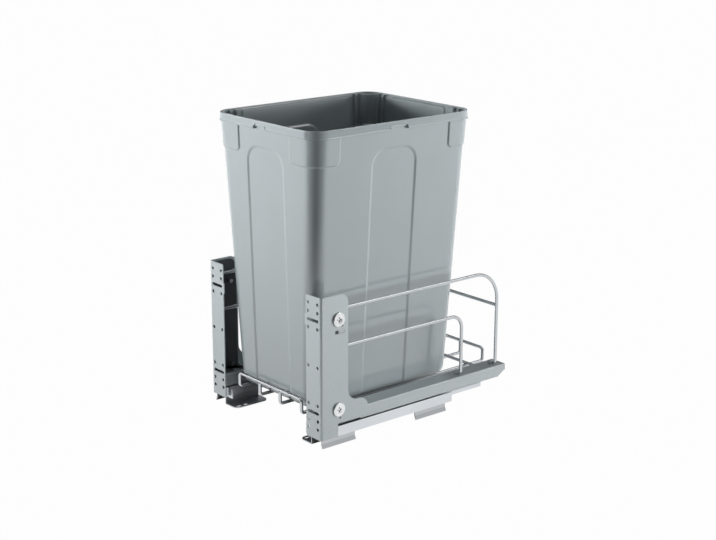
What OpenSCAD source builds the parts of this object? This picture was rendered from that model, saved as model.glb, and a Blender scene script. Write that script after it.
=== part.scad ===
// Pull-out bin frame: two floor-mounted ball slides carry side rails, a wire
// cradle with a lift-out bin, and two drilled brackets that take a cabinet door.
// Millimetres. +Z is up, the door is on the -Y side and +X is the right-hand side.
// The origin lies on the floor, in the middle of the frame.

/* [Frame] */
// Width over the outer faces of the two door brackets
frame_w = 260; // [256:1:320]
// Height of the feet, from the floor to the underside of the slides
foot_h = 12; // [10:0.5:20]
// Length that the bin carriage pulls out
travel = 250; // [200:5:250]

/* [Feet] */
// Sheet thickness of the feet
foot_t = 1.5; // [1:0.1:2.5]
// Length of a foot along the slide
foot_len = 60; // [50:1:80]
// Front edge of the front feet, behind the door plane
foot_front = 4; // [3:0.5:10]
// Distance from the front feet to the rear feet
foot_pitch = 174; // [120:1:180]
// Width of a foot's deck under the slide
foot_deck_w = 20.5; // [19:0.5:24]
// Width of the floor flange that takes the screws
foot_flange_w = 27.5; // [24:0.5:30]
// Outward lean of the outer leg at the floor
foot_lean = 2.5; // [1:0.1:4]
// Corner radius of the floor flange
foot_corner_r = 9; // [4:0.5:12]
// Width of a screw slot
screw_slot_w = 4.5; // [3.5:0.1:6]
// End-to-end length of a screw slot
screw_slot_len = 9; // [7:0.5:10]
// Distance between the two screw slots of a foot
screw_slot_pitch = 12; // [11:0.5:16]
// Distance from the flange's inner edge to the slots
screw_slot_edge = 5.5; // [4.5:0.5:9]
// Distance from a foot's front edge to its first slot
screw_slot_front = 9; // [7:0.5:12]

/* [Slides] */
// How far the cabinet member runs on behind the rear feet
cabinet_tail = 12; // [10:0.5:24]
// Height of the cabinet member
cabinet_h = 14.5; // [13:0.5:17]
// Length of the drawer member
drawer_len = 314; // [280:1:330]
// Sheet thickness of the slide members
slide_t = 1.5; // [1.4:0.1:1.6]
// Front ends of the slide members, behind the door plane
slide_front = 4; // [3:0.5:8]
// Diameter of the balls between the cabinet and middle members
outer_ball_d = 4; // [3.8:0.1:4.2]
// Diameter of the balls between the middle and drawer members
inner_ball_d = 3; // [2.8:0.1:3.2]
// Balls in one row of an outer cage
outer_balls = 8; // [4:1:10]
// Balls in one row of an inner cage
inner_balls = 10; // [4:1:12]
// Depth of the outer ball grooves
race_depth = 0.5; // [0.3:0.05:0.6]
// Depth of the inner ball grooves
inner_race_depth = 0.4; // [0.3:0.05:0.5]
// Play of a ball in its grooves
ball_play = 0.1; // [0.05:0.01:0.15]
// Length of the rubber closing bumper
bumper_len = 3.5; // [2:0.5:6]
// Width of the fixing tab on the front of a cabinet member
tab_w = 12; // [10:0.5:14]
// Diameter of the hole in that tab
tab_hole_d = 5; // [4:0.1:6]

/* [Side rails] */
// Width of a side rail
rail_w = 29; // [28:0.5:32]
// Height of a side rail's walls
rail_h = 18; // [16:0.5:24]
// Sheet thickness of the rails
rail_t = 1.5; // [1.2:0.1:2]
// Gap between the cabinet member and the rail above it
rail_gap = 2.5; // [2:0.1:4]
// Rear end of the rails, behind the door plane
rail_end = 360; // [350:1:380]
// Length of the slanted cut under the rail's rear end
rail_cut_len = 15; // [8:0.5:20]
// Height of that cut
rail_cut_h = 9; // [5:0.5:12]

/* [Uprights] */
// Sheet thickness of the uprights
upright_t = 1.5; // [1.2:0.1:2]
// Front edge of the uprights, behind the door plane
upright_front = 3; // [2.5:0.5:5]
// Depth of an upright, front to back
upright_d = 42; // [40:1:46]
// Height of an upright above the rail
upright_h = 168; // [160:1:170]
// Width of the upright's welded foot
upright_foot_w = 20; // [16:0.5:24]

/* [Door brackets] */
// Height of a door bracket
bracket_h = 205; // [204:1:215]
// Height of its lower edge above the underside of the slide
bracket_lift = 1; // [0:0.5:3]
// Width of the drilled front flange
flange_w = 33; // [32:0.5:40]
// Depth of the side plate
side_d = 48; // [46:0.5:54]
// Sheet thickness of the brackets
plate_t = 1.5; // [1.2:0.1:2]
// Outer radius of the bend between flange and side plate
bend_r = 3.6; // [2:0.1:4]
// Length of the side plate's heel over the rail
heel_len = 84; // [80:1:100]
// Height of the heel above the rail's top
heel_h = 14; // [10:0.5:18]
// Radius of the fillet above the heel
heel_fillet_r = 17; // [10:0.5:20]
// Radius of the heel's round end
heel_end_r = 15; // [8:0.5:18]
// Depth of the plate's lowest part, in front of the slot over the slide
skirt_d = 30; // [20:0.5:34]
// Radius of the side plate's top rear corner
top_corner_r = 13; // [5:0.5:14]
// Diameter of the door screw holes
door_hole_d = 5; // [3.5:0.1:5.5]
// Distance from the bracket's outer face to the first column of holes
door_hole_edge = 7.7; // [6:0.1:9]
// Distance between the two columns of holes
door_hole_pitch = 20; // [18:0.5:20]
// Height of the middle row of holes above the bracket's lower edge
door_hole_mid = 104.5; // [104:0.5:108]
// Length of the sideways slots
door_slot_len = 25; // [20:0.5:26]
// Width of the sideways slots
door_slot_w = 4.4; // [3:0.1:5]
// Height that a bracket can be adjusted up or down
bracket_adjust = 3; // [1:0.5:3]

/* [Adjusters] */
// Diameter of an adjuster's round head
head_d = 20; // [18:0.5:22]
// Thickness of the head
head_t = 2.6; // [2:0.1:4]
// Diameter of the threaded shank
shank_d = 6; // [5:0.1:6.5]
// Distance from the door plane to the adjusters
cam_y = 31; // [30:0.5:32]
// Height of the lower adjusters above the rail's top
cam_low = 6; // [6:0.5:8]
// Distance from the lower to the upper adjusters
cam_pitch = 130; // [120:1:140]
// Length of the rivet nuts
nut_len = 8.5; // [6:0.5:10]

/* [Wires] */
// Diameter of all the wires
wire_d = 5; // [4:0.1:5.5]
// Height of the upper side wire above the upper adjusters
upper_wire_rise = 13; // [9:0.5:16]
// Height of the lower side wire above the rail's top
lower_wire_h = 94; // [80:0.5:100]
// Rear leg of the upper side wire, behind the door plane
upper_leg = 342; // [325:0.5:344]
// Rear leg of the lower side wire, behind the door plane
lower_leg = 270; // [240:0.5:290]
// Bend radius of the upper side wire
upper_bend_r = 44; // [20:0.5:60]
// Bend radius of the lower side wire
lower_bend_r = 20; // [10:0.5:40]
// Length of the inward feet of the side wires
wire_foot_len = 14; // [10:0.5:16]
// Bend radius at those feet
wire_foot_r = 6; // [4:0.5:8]
// Height of the rear cross wire above the rail's top
cross_wire_h = 95; // [80:0.5:98]

/* [Cradle] */
// Half the distance between the outer floor wires
cradle_half_w = 73.5; // [70:0.5:80]
// Half the distance between the inner floor wires
floor_wire_half = 24; // [20:0.5:30]
// Depth of the floor wires below the rail's top
cradle_drop = 11; // [10.5:0.1:11.5]
// Height of the cradle's front and rear edges above the floor wires
cradle_lip = 20.4; // [18:0.1:24]
// Front edge of the cradle, behind the door plane
cradle_front = 10; // [8:0.5:11]
// Rear edge of the cradle, behind the door plane
cradle_rear = 365.5; // [361:0.5:372]
// Bend radius of the cradle wires
cradle_bend_r = 8; // [6:0.5:8.5]
// Front floor cross wire, behind the door plane
front_cross = 70; // [40:1:120]
// Rear floor cross wire, behind the door plane
rear_cross = 328; // [300:1:340]

/* [Bin] */
// Width of the bin over its rim
rim_w = 233; // [225:0.5:236]
// Depth of the bin over its rim
rim_d = 297; // [290:0.5:300]
// Height of the rim band
rim_h = 10; // [8:0.5:14]
// Overhang of the rim over the wall below it
rim_lip = 3.5; // [2:0.1:5]
// Corner radius of the rim
rim_r = 25.5; // [22:0.5:32]
// Height of the bin
bin_h = 402.5; // [380:0.5:420]
// Width of the bin's floor
floor_w = 174; // [165:0.5:178]
// Depth of the bin's floor
floor_d = 264; // [250:0.5:265]
// Radius of the bin's lower edge
floor_edge_r = 8; // [5:0.5:10]
// Wall thickness of the bin
bin_t = 3; // [2.8:0.1:4]
// Front of the rim, behind the door plane
bin_front = 0.5; // [0.4:0.1:4]
// Half the width of the sunk arched panels
panel_half_w = 40; // [30:0.5:45]
// Distance of the panels' tops below the rim's top
panel_top = 38; // [30:0.5:60]
// Radius of the panels' upper corners
panel_r = 24; // [10:0.5:29]
// Depth of the sunk panels
panel_depth = 1.6; // [0.8:0.1:1.8]
// Height of the panels' lower edges above the bin's floor
panel_foot = 16; // [12:0.5:40]
// Height of the corner pads under the rim's top
pad_h = 50; // [40:0.5:60]
// Thickness of the corner pads
pad_t = 1.6; // [1:0.1:2]
// Length of the corner pads along the front and back
pad_front_len = 59; // [50:0.5:62]
// Length of the corner pads along the sides
pad_side_len = 49; // [40:0.5:56]
// Radius of the pads' lower corners
pad_r = 7; // [4:0.5:10]

/* [Fits] */
// Sliding gap between a bracket and the rail and upright behind it
slip = 0.3; // [0.2:0.05:0.5]
// Gap at a weld or a seat
seat = 0.05; // [0.02:0.01:0.1]
// Radial play of a turning screw
turn_play = 0.05; // [0.03:0.01:0.08]
// Gap at the slides' end stops
stop_gap = 0.4; // [0.2:0.1:0.6]

/* [Hidden] */
$fn = 48;
ball_fn = 24;
// Small overlap that lets a cut run past a face
eps = 0.01;
bar = wire_d / 2;

// Heights
cabinet_top = foot_h + cabinet_h;
rail_low = cabinet_top + rail_gap;
rail_top = rail_low + rail_h;
bracket_z = foot_h + bracket_lift;
cradle_z = rail_top - cradle_drop;
lip_z = cradle_z + cradle_lip;
bin_z = cradle_z + bar + seat;
rim_z = bin_z + bin_h;

// Distances from the middle plane, on the right-hand side
face_x = frame_w / 2;
plate_in_x = face_x - plate_t;
rail_out_x = plate_in_x - slip;
rail_in_x = rail_out_x - rail_w;
slide_x = (rail_out_x + rail_in_x) / 2;
upright_in_x = rail_out_x - upright_t;
wire_x = upright_in_x - bar - seat;
foot_out_x = slide_x + foot_deck_w / 2 + foot_t;
foot_in_x = foot_out_x - foot_deck_w - 2 * foot_t;
foot_edge_x = foot_in_x - foot_flange_w + foot_t;

// Front plane, with the part's depth centred on the origin
depth = cradle_rear + bar;
door_y = -depth / 2;
bin_mid = bin_front + rim_d / 2;

// Slide members: half widths from the outside in
cabinet_inset = 1;
cabinet_w = rail_w - 2 * cabinet_inset;
cabinet_in = cabinet_w / 2 - slide_t;
outer_ball_u = cabinet_in + race_depth - ball_play - outer_ball_d / 2;
middle_out = outer_ball_u - outer_ball_d / 2 - ball_play + race_depth;
middle_in = middle_out - slide_t;
inner_ball_u = middle_in + inner_race_depth - ball_play - inner_ball_d / 2;
drawer_out = inner_ball_u - inner_ball_d / 2 - ball_play + inner_race_depth;
drawer_in = drawer_out - slide_t;
cap_lip = 5;
drawer_cap_half = drawer_out + cap_lip;

// Slide members: heights
stop_room = 1.5;
member_gap = 0.9;
ball_row_step = 4.5;
race_wall = 4;
middle_z = foot_h + slide_t + stop_room;
drawer_z = middle_z + slide_t + member_gap;
outer_ball_z = foot_h + (slide_t + cabinet_h) / 2;
inner_ball_z = outer_ball_z + ball_row_step;
middle_top = inner_ball_z + race_wall;

// Slide members: lengths and stops
cabinet_end = foot_front + foot_pitch + foot_len + cabinet_tail;
middle_end = cabinet_end - bumper_len - stop_gap;
drawer_end = slide_front + drawer_len;
stop_inset = 4;
stop_y = slide_front + stop_inset;
stop_len = 2;
stop_half = drawer_in - member_gap;
stop_pin_d = 3;
cage_margin = 4;
outer_cage_y = [slide_front + travel / 4 + cage_margin, middle_end - travel / 4 - cage_margin];
inner_cage_y = [slide_front + travel / 4 + cage_margin, middle_end - cage_margin];
cage_t = 0.9;
cage_rim = 1;
tab_inset = 2;
tab_y = slide_front + tab_inset;
tab_gap = 0.5;

// Rivets that hold the slides on the feet
rivet_d = 4;
rivet_head_d = 6.5;
rivet_head_h = 0.8;
rivet_inset = 14;
rivet_u = 7;

// Start of the side wires behind the front edge of the upright
wire_inset = 2;

// Door bracket
bracket_top = bracket_z + bracket_h;
heel_z = rail_top + heel_h;
slot_rise = 3.2;
heel_low = rail_low + slot_rise;
notch_back = 12;
notch_rise = 1;
door_hole_z = bracket_z + door_hole_mid;
door_rows = [0, 55, 78, 90];
door_slot_row = 66.5;
ear_w = 2;
ear_h = 15;
ear_drop = 2;
ear_z = door_slot_row - ear_drop;
corner_r = 3;
window_y = [25, 42];
window_z = [-20.5, -15.5];
peep_d = 3;
peep_upper = [7, -10];
peep_lower = [2.5, -13];

// Adjusters
cam_z = [rail_top + cam_low, rail_top + cam_low + cam_pitch];
upper_wire_h = cam_low + cam_pitch + upper_wire_rise;
nut_d = 8;
nut_flange_d = 10;
nut_flange_t = 1;
nut_room = 1;
dish_d = 12.5;
dish_depth = 1.3;
dish_slope = 4;
cross_len = 7;
cross_w = 2;
cross_depth = 2;
head_bevel_h = 0.6;
head_bevel_w = 0.8;

// Bin: corner facets, and the rounding of its lower edge as shares of the radius, up and in
bin_steps = 8;
edge_steps = [for (a = [0:30:90]) [1 - cos(a), 1 - sin(a)]];
wall_h = bin_h - rim_h;
taper_side = atan((rim_w - 2 * rim_lip - floor_w) / 2 / wall_h);
taper_front = atan((rim_d - 2 * rim_lip - floor_d) / 2 / wall_h);

SIDES = ["left", "right"];

// Placing: every piece is drawn on the right, behind a door plane at y = 0
module placed(side = "right") {
    translate([0, door_y, 0])
        mirror([side == "left" ? 1 : 0, 0, 0])
            children();
}

// Extrudes an outline drawn in X and Z along Y
module along_y(y0, y1) {
    translate([0, y1, 0])
        rotate([90, 0, 0])
            linear_extrude(y1 - y0)
                children();
}

// Extrudes an outline drawn in Y and Z along X
module along_x(x0, x1) {
    translate([x0, 0, 0])
        rotate([90, 0, 90])
            linear_extrude(x1 - x0)
                children();
}

// Rectangle between two corners
module patch(a, b) {
    translate(a)
        square(b - a);
}

// What a rounded corner loses: at p, opening towards the signs in dir
module corner_cut(p, dir, r) {
    near = p - dir * eps;
    far = p + dir * r;
    difference() {
        patch([min(near.x, far.x), min(near.y, far.y)], [max(near.x, far.x), max(near.y, far.y)]);
        translate(far)
            circle(r);
    }
}

// Slot with round ends, along x or y
module slot_2d(at, len, w, along = "x") {
    turn = along == "x" ? 0 : 90;
    translate(at)
        rotate(turn) {
            square([len - w, w], center = true);
            for (s = [-1, 1])
                translate([s * (len - w) / 2, 0])
                    circle(d = w);
        }
}

// Rectangle with four round corners
module round_patch(w, d, r) {
    square([w - 2 * r, d], center = true);
    square([w, d - 2 * r], center = true);
    for (sx = [-1, 1], sy = [-1, 1])
        translate([sx * (w / 2 - r), sy * (d / 2 - r)])
            circle(r);
}

// Straight length of wire
module rod(a, b) {
    v = b - a;
    translate(a)
        rotate([0, acos(v.z / norm(v)), atan2(v.y, v.x)])
            cylinder(h = norm(v), d = wire_d);
}

// Quarter bend of a wire at a corner, from direction u into direction v
module elbow(corner, u, v, r) {
    c = corner - u * r + v * r;
    w = cross(-v, u);
    multmatrix([[-v.x, u.x, w.x, c.x], [-v.y, u.y, w.y, c.y], [-v.z, u.z, w.z, c.z], [0, 0, 0, 1]])
        rotate_extrude(angle = 90)
            translate([r, 0])
                circle(d = wire_d);
}

// Wire bent square at its inner points, each with its own radius
module bent_wire(points, radii, closed = false) {
    n = len(points);
    runs = closed ? n : n - 1;
    dirs = [for (i = [0:runs - 1]) let (v = points[(i + 1) % n] - points[i]) v / norm(v)];
    for (i = [0:runs - 1])
        rod(points[i] + dirs[i] * radii[i], points[(i + 1) % n] - dirs[i] * radii[(i + 1) % n]);
    for (i = [closed ? 0 : 1:closed ? n - 1 : n - 2])
        elbow(points[i], dirs[(i - 1 + runs) % runs], dirs[i], radii[i]);
}

// Hat-shaped foot, screwed to the cabinet floor
module foot(y0) {
    color("silver")
        difference() {
            along_y(y0, y0 + foot_len) {
                patch([foot_in_x, foot_h - foot_t], [foot_out_x, foot_h]);
                patch([foot_in_x, 0], [foot_in_x + foot_t, foot_h]);
                patch([foot_edge_x, 0], [foot_in_x + foot_t, foot_t]);
                polygon([
                    [foot_out_x, foot_h], [foot_out_x - foot_t, foot_h],
                    [foot_out_x - foot_t, foot_h / 2], [foot_out_x - foot_t + foot_lean, 0],
                    [foot_out_x + foot_lean, 0], [foot_out_x, foot_h / 2]
                ]);
            }
            translate([0, 0, -eps])
                linear_extrude(foot_t + 2 * eps) {
                    corner_cut([foot_edge_x, y0], [1, 1], foot_corner_r);
                    corner_cut([foot_edge_x, y0 + foot_len], [1, -1], foot_corner_r);
                    for (i = [0, 1])
                        slot_2d([foot_edge_x + screw_slot_edge, y0 + screw_slot_front + i * screw_slot_pitch],
                                screw_slot_len, screw_slot_w, "y");
                }
            rivet_places(y0)
                translate([0, 0, foot_h - foot_t - eps])
                    cylinder(h = foot_t + 2 * eps, d = rivet_d + 2 * seat);
        }
}

// The two rivets of one foot
module rivet_places(y0) {
    for (y = [y0 + rivet_inset, y0 + foot_len - rivet_inset])
        translate([slide_x + (y == y0 + rivet_inset ? rivet_u : -rivet_u), y, 0])
            children();
}

function foot_places() = [foot_front, foot_front + foot_pitch];

// Rivets through the feet and the slides
module foot_rivets() {
    color("lightgray")
        for (y0 = foot_places())
            rivet_places(y0) {
                translate([0, 0, foot_h - foot_t])
                    cylinder(h = foot_t + slide_t, d = rivet_d);
                translate([0, 0, foot_h + slide_t])
                    cylinder(h = rivet_head_h, d = rivet_head_d);
                translate([0, 0, foot_h - foot_t - rivet_head_h])
                    cylinder(h = rivet_head_h, d = rivet_head_d);
            }
}

// Fixed channel of a slide, with its ball grooves, stop and front tab
module cabinet_member() {
    color("lightgray")
        difference() {
            union() {
                along_y(slide_front, cabinet_end)
                    translate([slide_x, 0])
                        difference() {
                            patch([-cabinet_w / 2, foot_h], [cabinet_w / 2, cabinet_top]);
                            patch([-cabinet_in, foot_h + slide_t], [cabinet_in, cabinet_top + eps]);
                            for (s = [-1, 1])
                                translate([s * outer_ball_u, outer_ball_z])
                                    circle(d = outer_ball_d + 2 * ball_play);
                        }
                along_y(stop_y, stop_y + stop_len)
                    patch([slide_x - stop_half, foot_h + slide_t - eps],
                          [slide_x + stop_half, middle_z - stop_gap]);
                along_y(tab_y, tab_y + slide_t)
                    patch([slide_x - cabinet_w / 2 - tab_w, foot_h],
                          [slide_x - cabinet_w / 2 + slide_t, cabinet_top + tab_gap]);
            }
            for (y0 = foot_places())
                rivet_places(y0)
                    translate([0, 0, foot_h - eps])
                        cylinder(h = slide_t + 2 * eps, d = rivet_d + 2 * seat);
            translate([slide_x - cabinet_w / 2 - tab_w / 2, tab_y - eps, (foot_h + cabinet_top) / 2])
                rotate([-90, 0, 0])
                    cylinder(h = slide_t + 2 * eps, d = tab_hole_d);
        }
}

// Rubber block that the middle member closes against
module closing_bumper() {
    color("dimgray")
        along_y(cabinet_end - bumper_len, cabinet_end)
            patch([slide_x - middle_out, foot_h + slide_t],
                  [slide_x + middle_out, drawer_z - stop_gap]);
}

// Places of the balls of one cage
module ball_places(u, z, span, count, d) {
    pitch = (span[1] - span[0] - d - 2 * cage_rim) / (count - 1);
    for (s = [-1, 1], i = [0:count - 1])
        translate([slide_x + s * u, span[0] + d / 2 + cage_rim + i * pitch, z])
            children();
}

// Strips that keep the balls apart
module ball_cage(u, z, span, count, d) {
    color("goldenrod")
        difference() {
            for (s = [-1, 1])
                along_y(span[0], span[1])
                    patch([slide_x + s * u - cage_t / 2, z - d / 2 - cage_rim],
                          [slide_x + s * u + cage_t / 2, z + d / 2 + cage_rim]);
            ball_places(u, z, span, count, d)
                rotate([0, 90, 0])
                    cylinder(h = 2 * cage_t, d = d + 2 * ball_play, center = true);
        }
}

module outer_ball_cage() {
    ball_cage(outer_ball_u, outer_ball_z, outer_cage_y, outer_balls, outer_ball_d);
}

module inner_ball_cage() {
    ball_cage(inner_ball_u, inner_ball_z, inner_cage_y, inner_balls, inner_ball_d);
}

module outer_ball_set() {
    color("gainsboro")
        ball_places(outer_ball_u, outer_ball_z, outer_cage_y, outer_balls, outer_ball_d)
            sphere(d = outer_ball_d, $fn = ball_fn);
}

module inner_ball_set() {
    color("gainsboro")
        ball_places(inner_ball_u, inner_ball_z, inner_cage_y, inner_balls, inner_ball_d)
            sphere(d = inner_ball_d, $fn = ball_fn);
}

// Middle channel of a slide, which moves half as far as the carriage
module middle_member() {
    lug_y = stop_y + stop_len + stop_gap + travel / 2;
    color("lightgray") {
        along_y(slide_front, middle_end)
            translate([slide_x, 0])
                difference() {
                    patch([-middle_out, middle_z], [middle_out, middle_top]);
                    patch([-middle_in, middle_z + slide_t], [middle_in, middle_top + eps]);
                    for (s = [-1, 1]) {
                        translate([s * outer_ball_u, outer_ball_z])
                            circle(d = outer_ball_d + 2 * ball_play);
                        translate([s * inner_ball_u, inner_ball_z])
                            circle(d = inner_ball_d + 2 * ball_play);
                    }
                }
        along_y(lug_y, lug_y + stop_len)
            patch([slide_x - stop_half, foot_h + slide_t + stop_gap], [slide_x + stop_half, middle_z + eps]);
        along_y(stop_y, stop_y + stop_len)
            patch([slide_x - stop_half, middle_z + slide_t - eps], [slide_x + stop_half, inner_ball_z]);
    }
}

// Inner member of a slide, welded under the side rail
module drawer_member() {
    pin_y = stop_y + stop_len + stop_gap + stop_pin_d / 2 + travel / 2;
    under = rail_top - rail_t;
    color("lightgray") {
        along_y(slide_front, drawer_end)
            translate([slide_x, 0])
                difference() {
                    union() {
                        patch([-drawer_out, drawer_z], [drawer_out, under]);
                        patch([-drawer_cap_half, under - slide_t], [drawer_cap_half, under]);
                    }
                    patch([-drawer_in, drawer_z - eps], [drawer_in, under - slide_t]);
                    for (s = [-1, 1])
                        translate([s * inner_ball_u, inner_ball_z])
                            circle(d = inner_ball_d + 2 * ball_play);
                }
        translate([slide_x - drawer_in - eps, pin_y, (middle_z + slide_t + inner_ball_z) / 2])
            rotate([0, 90, 0])
                cylinder(h = 2 * (drawer_in + eps), d = stop_pin_d);
    }
}

// Channel that covers a slide and carries the cradle
module side_rail() {
    color("silver")
        difference() {
            along_y(upright_front, rail_end)
                difference() {
                    patch([rail_in_x, rail_low], [rail_out_x, rail_top]);
                    patch([rail_in_x + rail_t, rail_low - eps], [rail_out_x - rail_t, rail_top - rail_t]);
                    corner_cut([rail_in_x, rail_top], [1, -1], rail_t);
                    corner_cut([rail_out_x, rail_top], [-1, -1], rail_t);
                }
            along_x(rail_in_x - eps, rail_out_x + eps)
                polygon([
                    [rail_end - rail_cut_len, rail_low - eps],
                    [rail_end + eps, rail_low - eps],
                    [rail_end + eps, rail_low + rail_cut_h]
                ]);
            along_x(rail_out_x - rail_t - eps, rail_out_x + eps)
                patch([0, rail_low - eps], [heel_len - notch_back, heel_low + notch_rise]);
        }
}

// Post that carries the door bracket and the front ends of the side wires
module upright() {
    top = rail_top + upright_h;
    back = upright_front + upright_d;
    color("dimgray")
        difference() {
            union() {
                along_x(upright_in_x, rail_out_x)
                    difference() {
                        patch([upright_front, rail_top], [back, top]);
                        corner_cut([back, top], [-1, -1], top_corner_r);
                    }
                along_y(upright_front, back)
                    patch([rail_out_x - upright_foot_w, rail_top], [rail_out_x, rail_top + upright_t]);
            }
            for (z = cam_z)
                translate([upright_in_x - eps, cam_y, z])
                    rotate([0, 90, 0])
                        cylinder(h = upright_t + 2 * eps, d = nut_d + 2 * seat);
            translate([rail_out_x - upright_foot_w - eps, cam_y - nut_flange_d / 2 - nut_room, rail_top - eps])
                cube([upright_foot_w - upright_t, nut_flange_d + 2 * nut_room, upright_t + 2 * eps]);
        }
}

// Threaded inserts pressed into an upright
module rivet_nuts() {
    color("gainsboro")
        for (z = cam_z)
            translate([rail_out_x, cam_y, z])
                rotate([0, -90, 0])
                    difference() {
                        union() {
                            cylinder(h = nut_len, d = nut_d);
                            translate([0, 0, upright_t])
                                cylinder(h = nut_flange_t, d = nut_flange_d);
                        }
                        translate([0, 0, -eps])
                            cylinder(h = nut_len + 2 * eps, d = shank_d + 2 * turn_play);
                    }
}

// Arched wire along one side, from the upright to a foot on the rail
module side_wire(height, leg, r) {
    z = rail_top + height;
    foot_z = rail_top + bar + seat;
    color("lightgray")
        bent_wire(
            [[wire_x, upright_front + wire_inset, z], [wire_x, leg, z], [wire_x, leg, foot_z],
             [wire_x - wire_foot_len, leg, foot_z]],
            [0, r, wire_foot_r, 0]);
}

module upper_side_wire() {
    side_wire(upper_wire_h, upper_leg, upper_bend_r);
}

module lower_side_wire() {
    side_wire(lower_wire_h, lower_leg, lower_bend_r);
}

// Wire between the rear legs of the upper side wires
module rear_cross_wire() {
    reach = wire_x - bar - seat;
    color("gray")
        rod([-reach, upper_leg, rail_top + cross_wire_h], [reach, upper_leg, rail_top + cross_wire_h]);
}

// Closed wire that forms the front and rear lips and the outer floor wires
module cradle_loop_wire() {
    s = cradle_half_w;
    color("lightgray")
        bent_wire(
            [[-s, cradle_front, lip_z], [s, cradle_front, lip_z], [s, cradle_front, cradle_z],
             [s, cradle_rear, cradle_z], [s, cradle_rear, lip_z], [-s, cradle_rear, lip_z],
             [-s, cradle_rear, cradle_z], [-s, cradle_front, cradle_z]],
            [for (i = [0:7]) cradle_bend_r], closed = true);
}

// Inner floor wire, turned up at both ends to the lips
module floor_wire() {
    x = floor_wire_half;
    top = lip_z - bar - seat;
    color("lightgray")
        bent_wire(
            [[x, cradle_front, top], [x, cradle_front, cradle_z], [x, cradle_rear, cradle_z],
             [x, cradle_rear, top]],
            [0, cradle_bend_r, cradle_bend_r, 0]);
}

// Wires that tie the cradle's floor to the two side rails
module floor_cross_wire(y, z) {
    reach = rail_in_x - seat;
    color("gray")
        rod([-reach, y, z], [reach, y, z]);
}

module front_floor_cross_wire() {
    floor_cross_wire(front_cross, cradle_z - wire_d - seat);
}

module rear_floor_cross_wire() {
    floor_cross_wire(rear_cross, cradle_z + wire_d + seat);
}

// Outline of the bracket's side plate, in Y and Z
module side_plate_outline() {
    difference() {
        union() {
            patch([0, bracket_z], [skirt_d, heel_low]);
            patch([0, heel_low - eps], [side_d, bracket_top]);
            patch([0, heel_low], [heel_len, heel_z]);
            difference() {
                patch([side_d - eps, heel_z - eps], [side_d + heel_fillet_r, heel_z + heel_fillet_r]);
                translate([side_d + heel_fillet_r, heel_z + heel_fillet_r])
                    circle(heel_fillet_r);
            }
        }
        corner_cut([side_d, bracket_top], [-1, -1], top_corner_r);
        corner_cut([heel_len, heel_z], [-1, -1], heel_end_r);
        for (z = cam_z)
            slot_2d([cam_y, z], shank_d + 2 * slip + 2 * bracket_adjust, shank_d + 2 * slip, "y");
        translate([cam_y, cam_z[1]] + peep_upper)
            circle(d = peep_d);
        translate([cam_y, cam_z[0]] + peep_lower)
            circle(d = peep_d);
        patch([window_y[0], cam_z[1] + window_z[0]], [window_y[1], cam_z[1] + window_z[1]]);
    }
}

// Outline of the drilled front flange, in X and Z
module flange_outline() {
    inner_x = face_x - flange_w;
    difference() {
        union() {
            difference() {
                patch([inner_x, bracket_z], [face_x, bracket_top]);
                corner_cut([inner_x, bracket_top], [1, -1], corner_r);
                corner_cut([inner_x, bracket_z], [1, 1], corner_r);
            }
            patch([inner_x - ear_w, door_hole_z + ear_z - ear_h / 2],
                  [inner_x + eps, door_hole_z + ear_z + ear_h / 2]);
        }
        for (row = door_rows, s = [-1, 1], column = [0, 1])
            translate([face_x - door_hole_edge - column * door_hole_pitch, door_hole_z + s * row])
                circle(d = door_hole_d);
        for (s = [-1, 1])
            slot_2d([face_x - door_hole_edge - door_hole_pitch / 2, door_hole_z + s * door_slot_row],
                    door_slot_len, door_slot_w);
    }
}

// Angle plate that carries the cabinet door
module door_bracket() {
    fold = bend_r - plate_t;
    color("silver")
        difference() {
            union() {
                along_y(0, plate_t)
                    flange_outline();
                along_x(plate_in_x, face_x)
                    side_plate_outline();
                translate([0, 0, bracket_z])
                    linear_extrude(bracket_h)
                        difference() {
                            patch([plate_in_x - fold, plate_t - eps], [plate_in_x + eps, plate_t + fold]);
                            translate([plate_in_x - fold, plate_t + fold])
                                circle(fold);
                        }
            }
            translate([0, 0, bracket_z - eps])
                linear_extrude(bracket_h + 2 * eps)
                    corner_cut([face_x, 0], [-1, 1], bend_r);
        }
}

// Screw with a broad round head, dished around a cross recess
module adjuster(z) {
    color("whitesmoke")
        translate([face_x + seat, cam_y, z])
            rotate([0, 90, 0])
                difference() {
                    union() {
                        cylinder(h = head_t - head_bevel_h, d = head_d);
                        translate([0, 0, head_t - head_bevel_h])
                            cylinder(h = head_bevel_h, d1 = head_d, d2 = head_d - 2 * head_bevel_w);
                        translate([0, 0, -(face_x + seat - rail_out_x + nut_len)])
                            cylinder(h = face_x + 2 * seat - rail_out_x + nut_len, d = shank_d);
                    }
                    translate([0, 0, head_t - dish_depth])
                        cylinder(h = dish_depth + eps, d1 = dish_d - 2 * dish_slope, d2 = dish_d);
                    for (turn = [0, 90])
                        rotate(turn)
                            translate([-cross_len / 2, -cross_w / 2, head_t - cross_depth])
                                cube([cross_len, cross_w, cross_depth + eps]);
                }
}

// Outline of the bin's tapered body at one height, grown outwards, with its corner points
function bin_ring(z, grow) =
    let (
        share = (z - bin_z) / wall_h,
        r = rim_r - rim_lip + grow,
        half_w = (floor_w + (rim_w - 2 * rim_lip - floor_w) * share) / 2 + grow - r,
        half_d = (floor_d + (rim_d - 2 * rim_lip - floor_d) * share) / 2 + grow - r
    )
    [for (k = [0:3], i = [0:bin_steps])
        let (a = 90 * (k + i / bin_steps), sx = k == 0 || k == 3 ? 1 : -1, sy = k < 2 ? 1 : -1)
        [sx * half_w + r * cos(a), bin_mid + sy * half_d + r * sin(a), z]];

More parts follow.
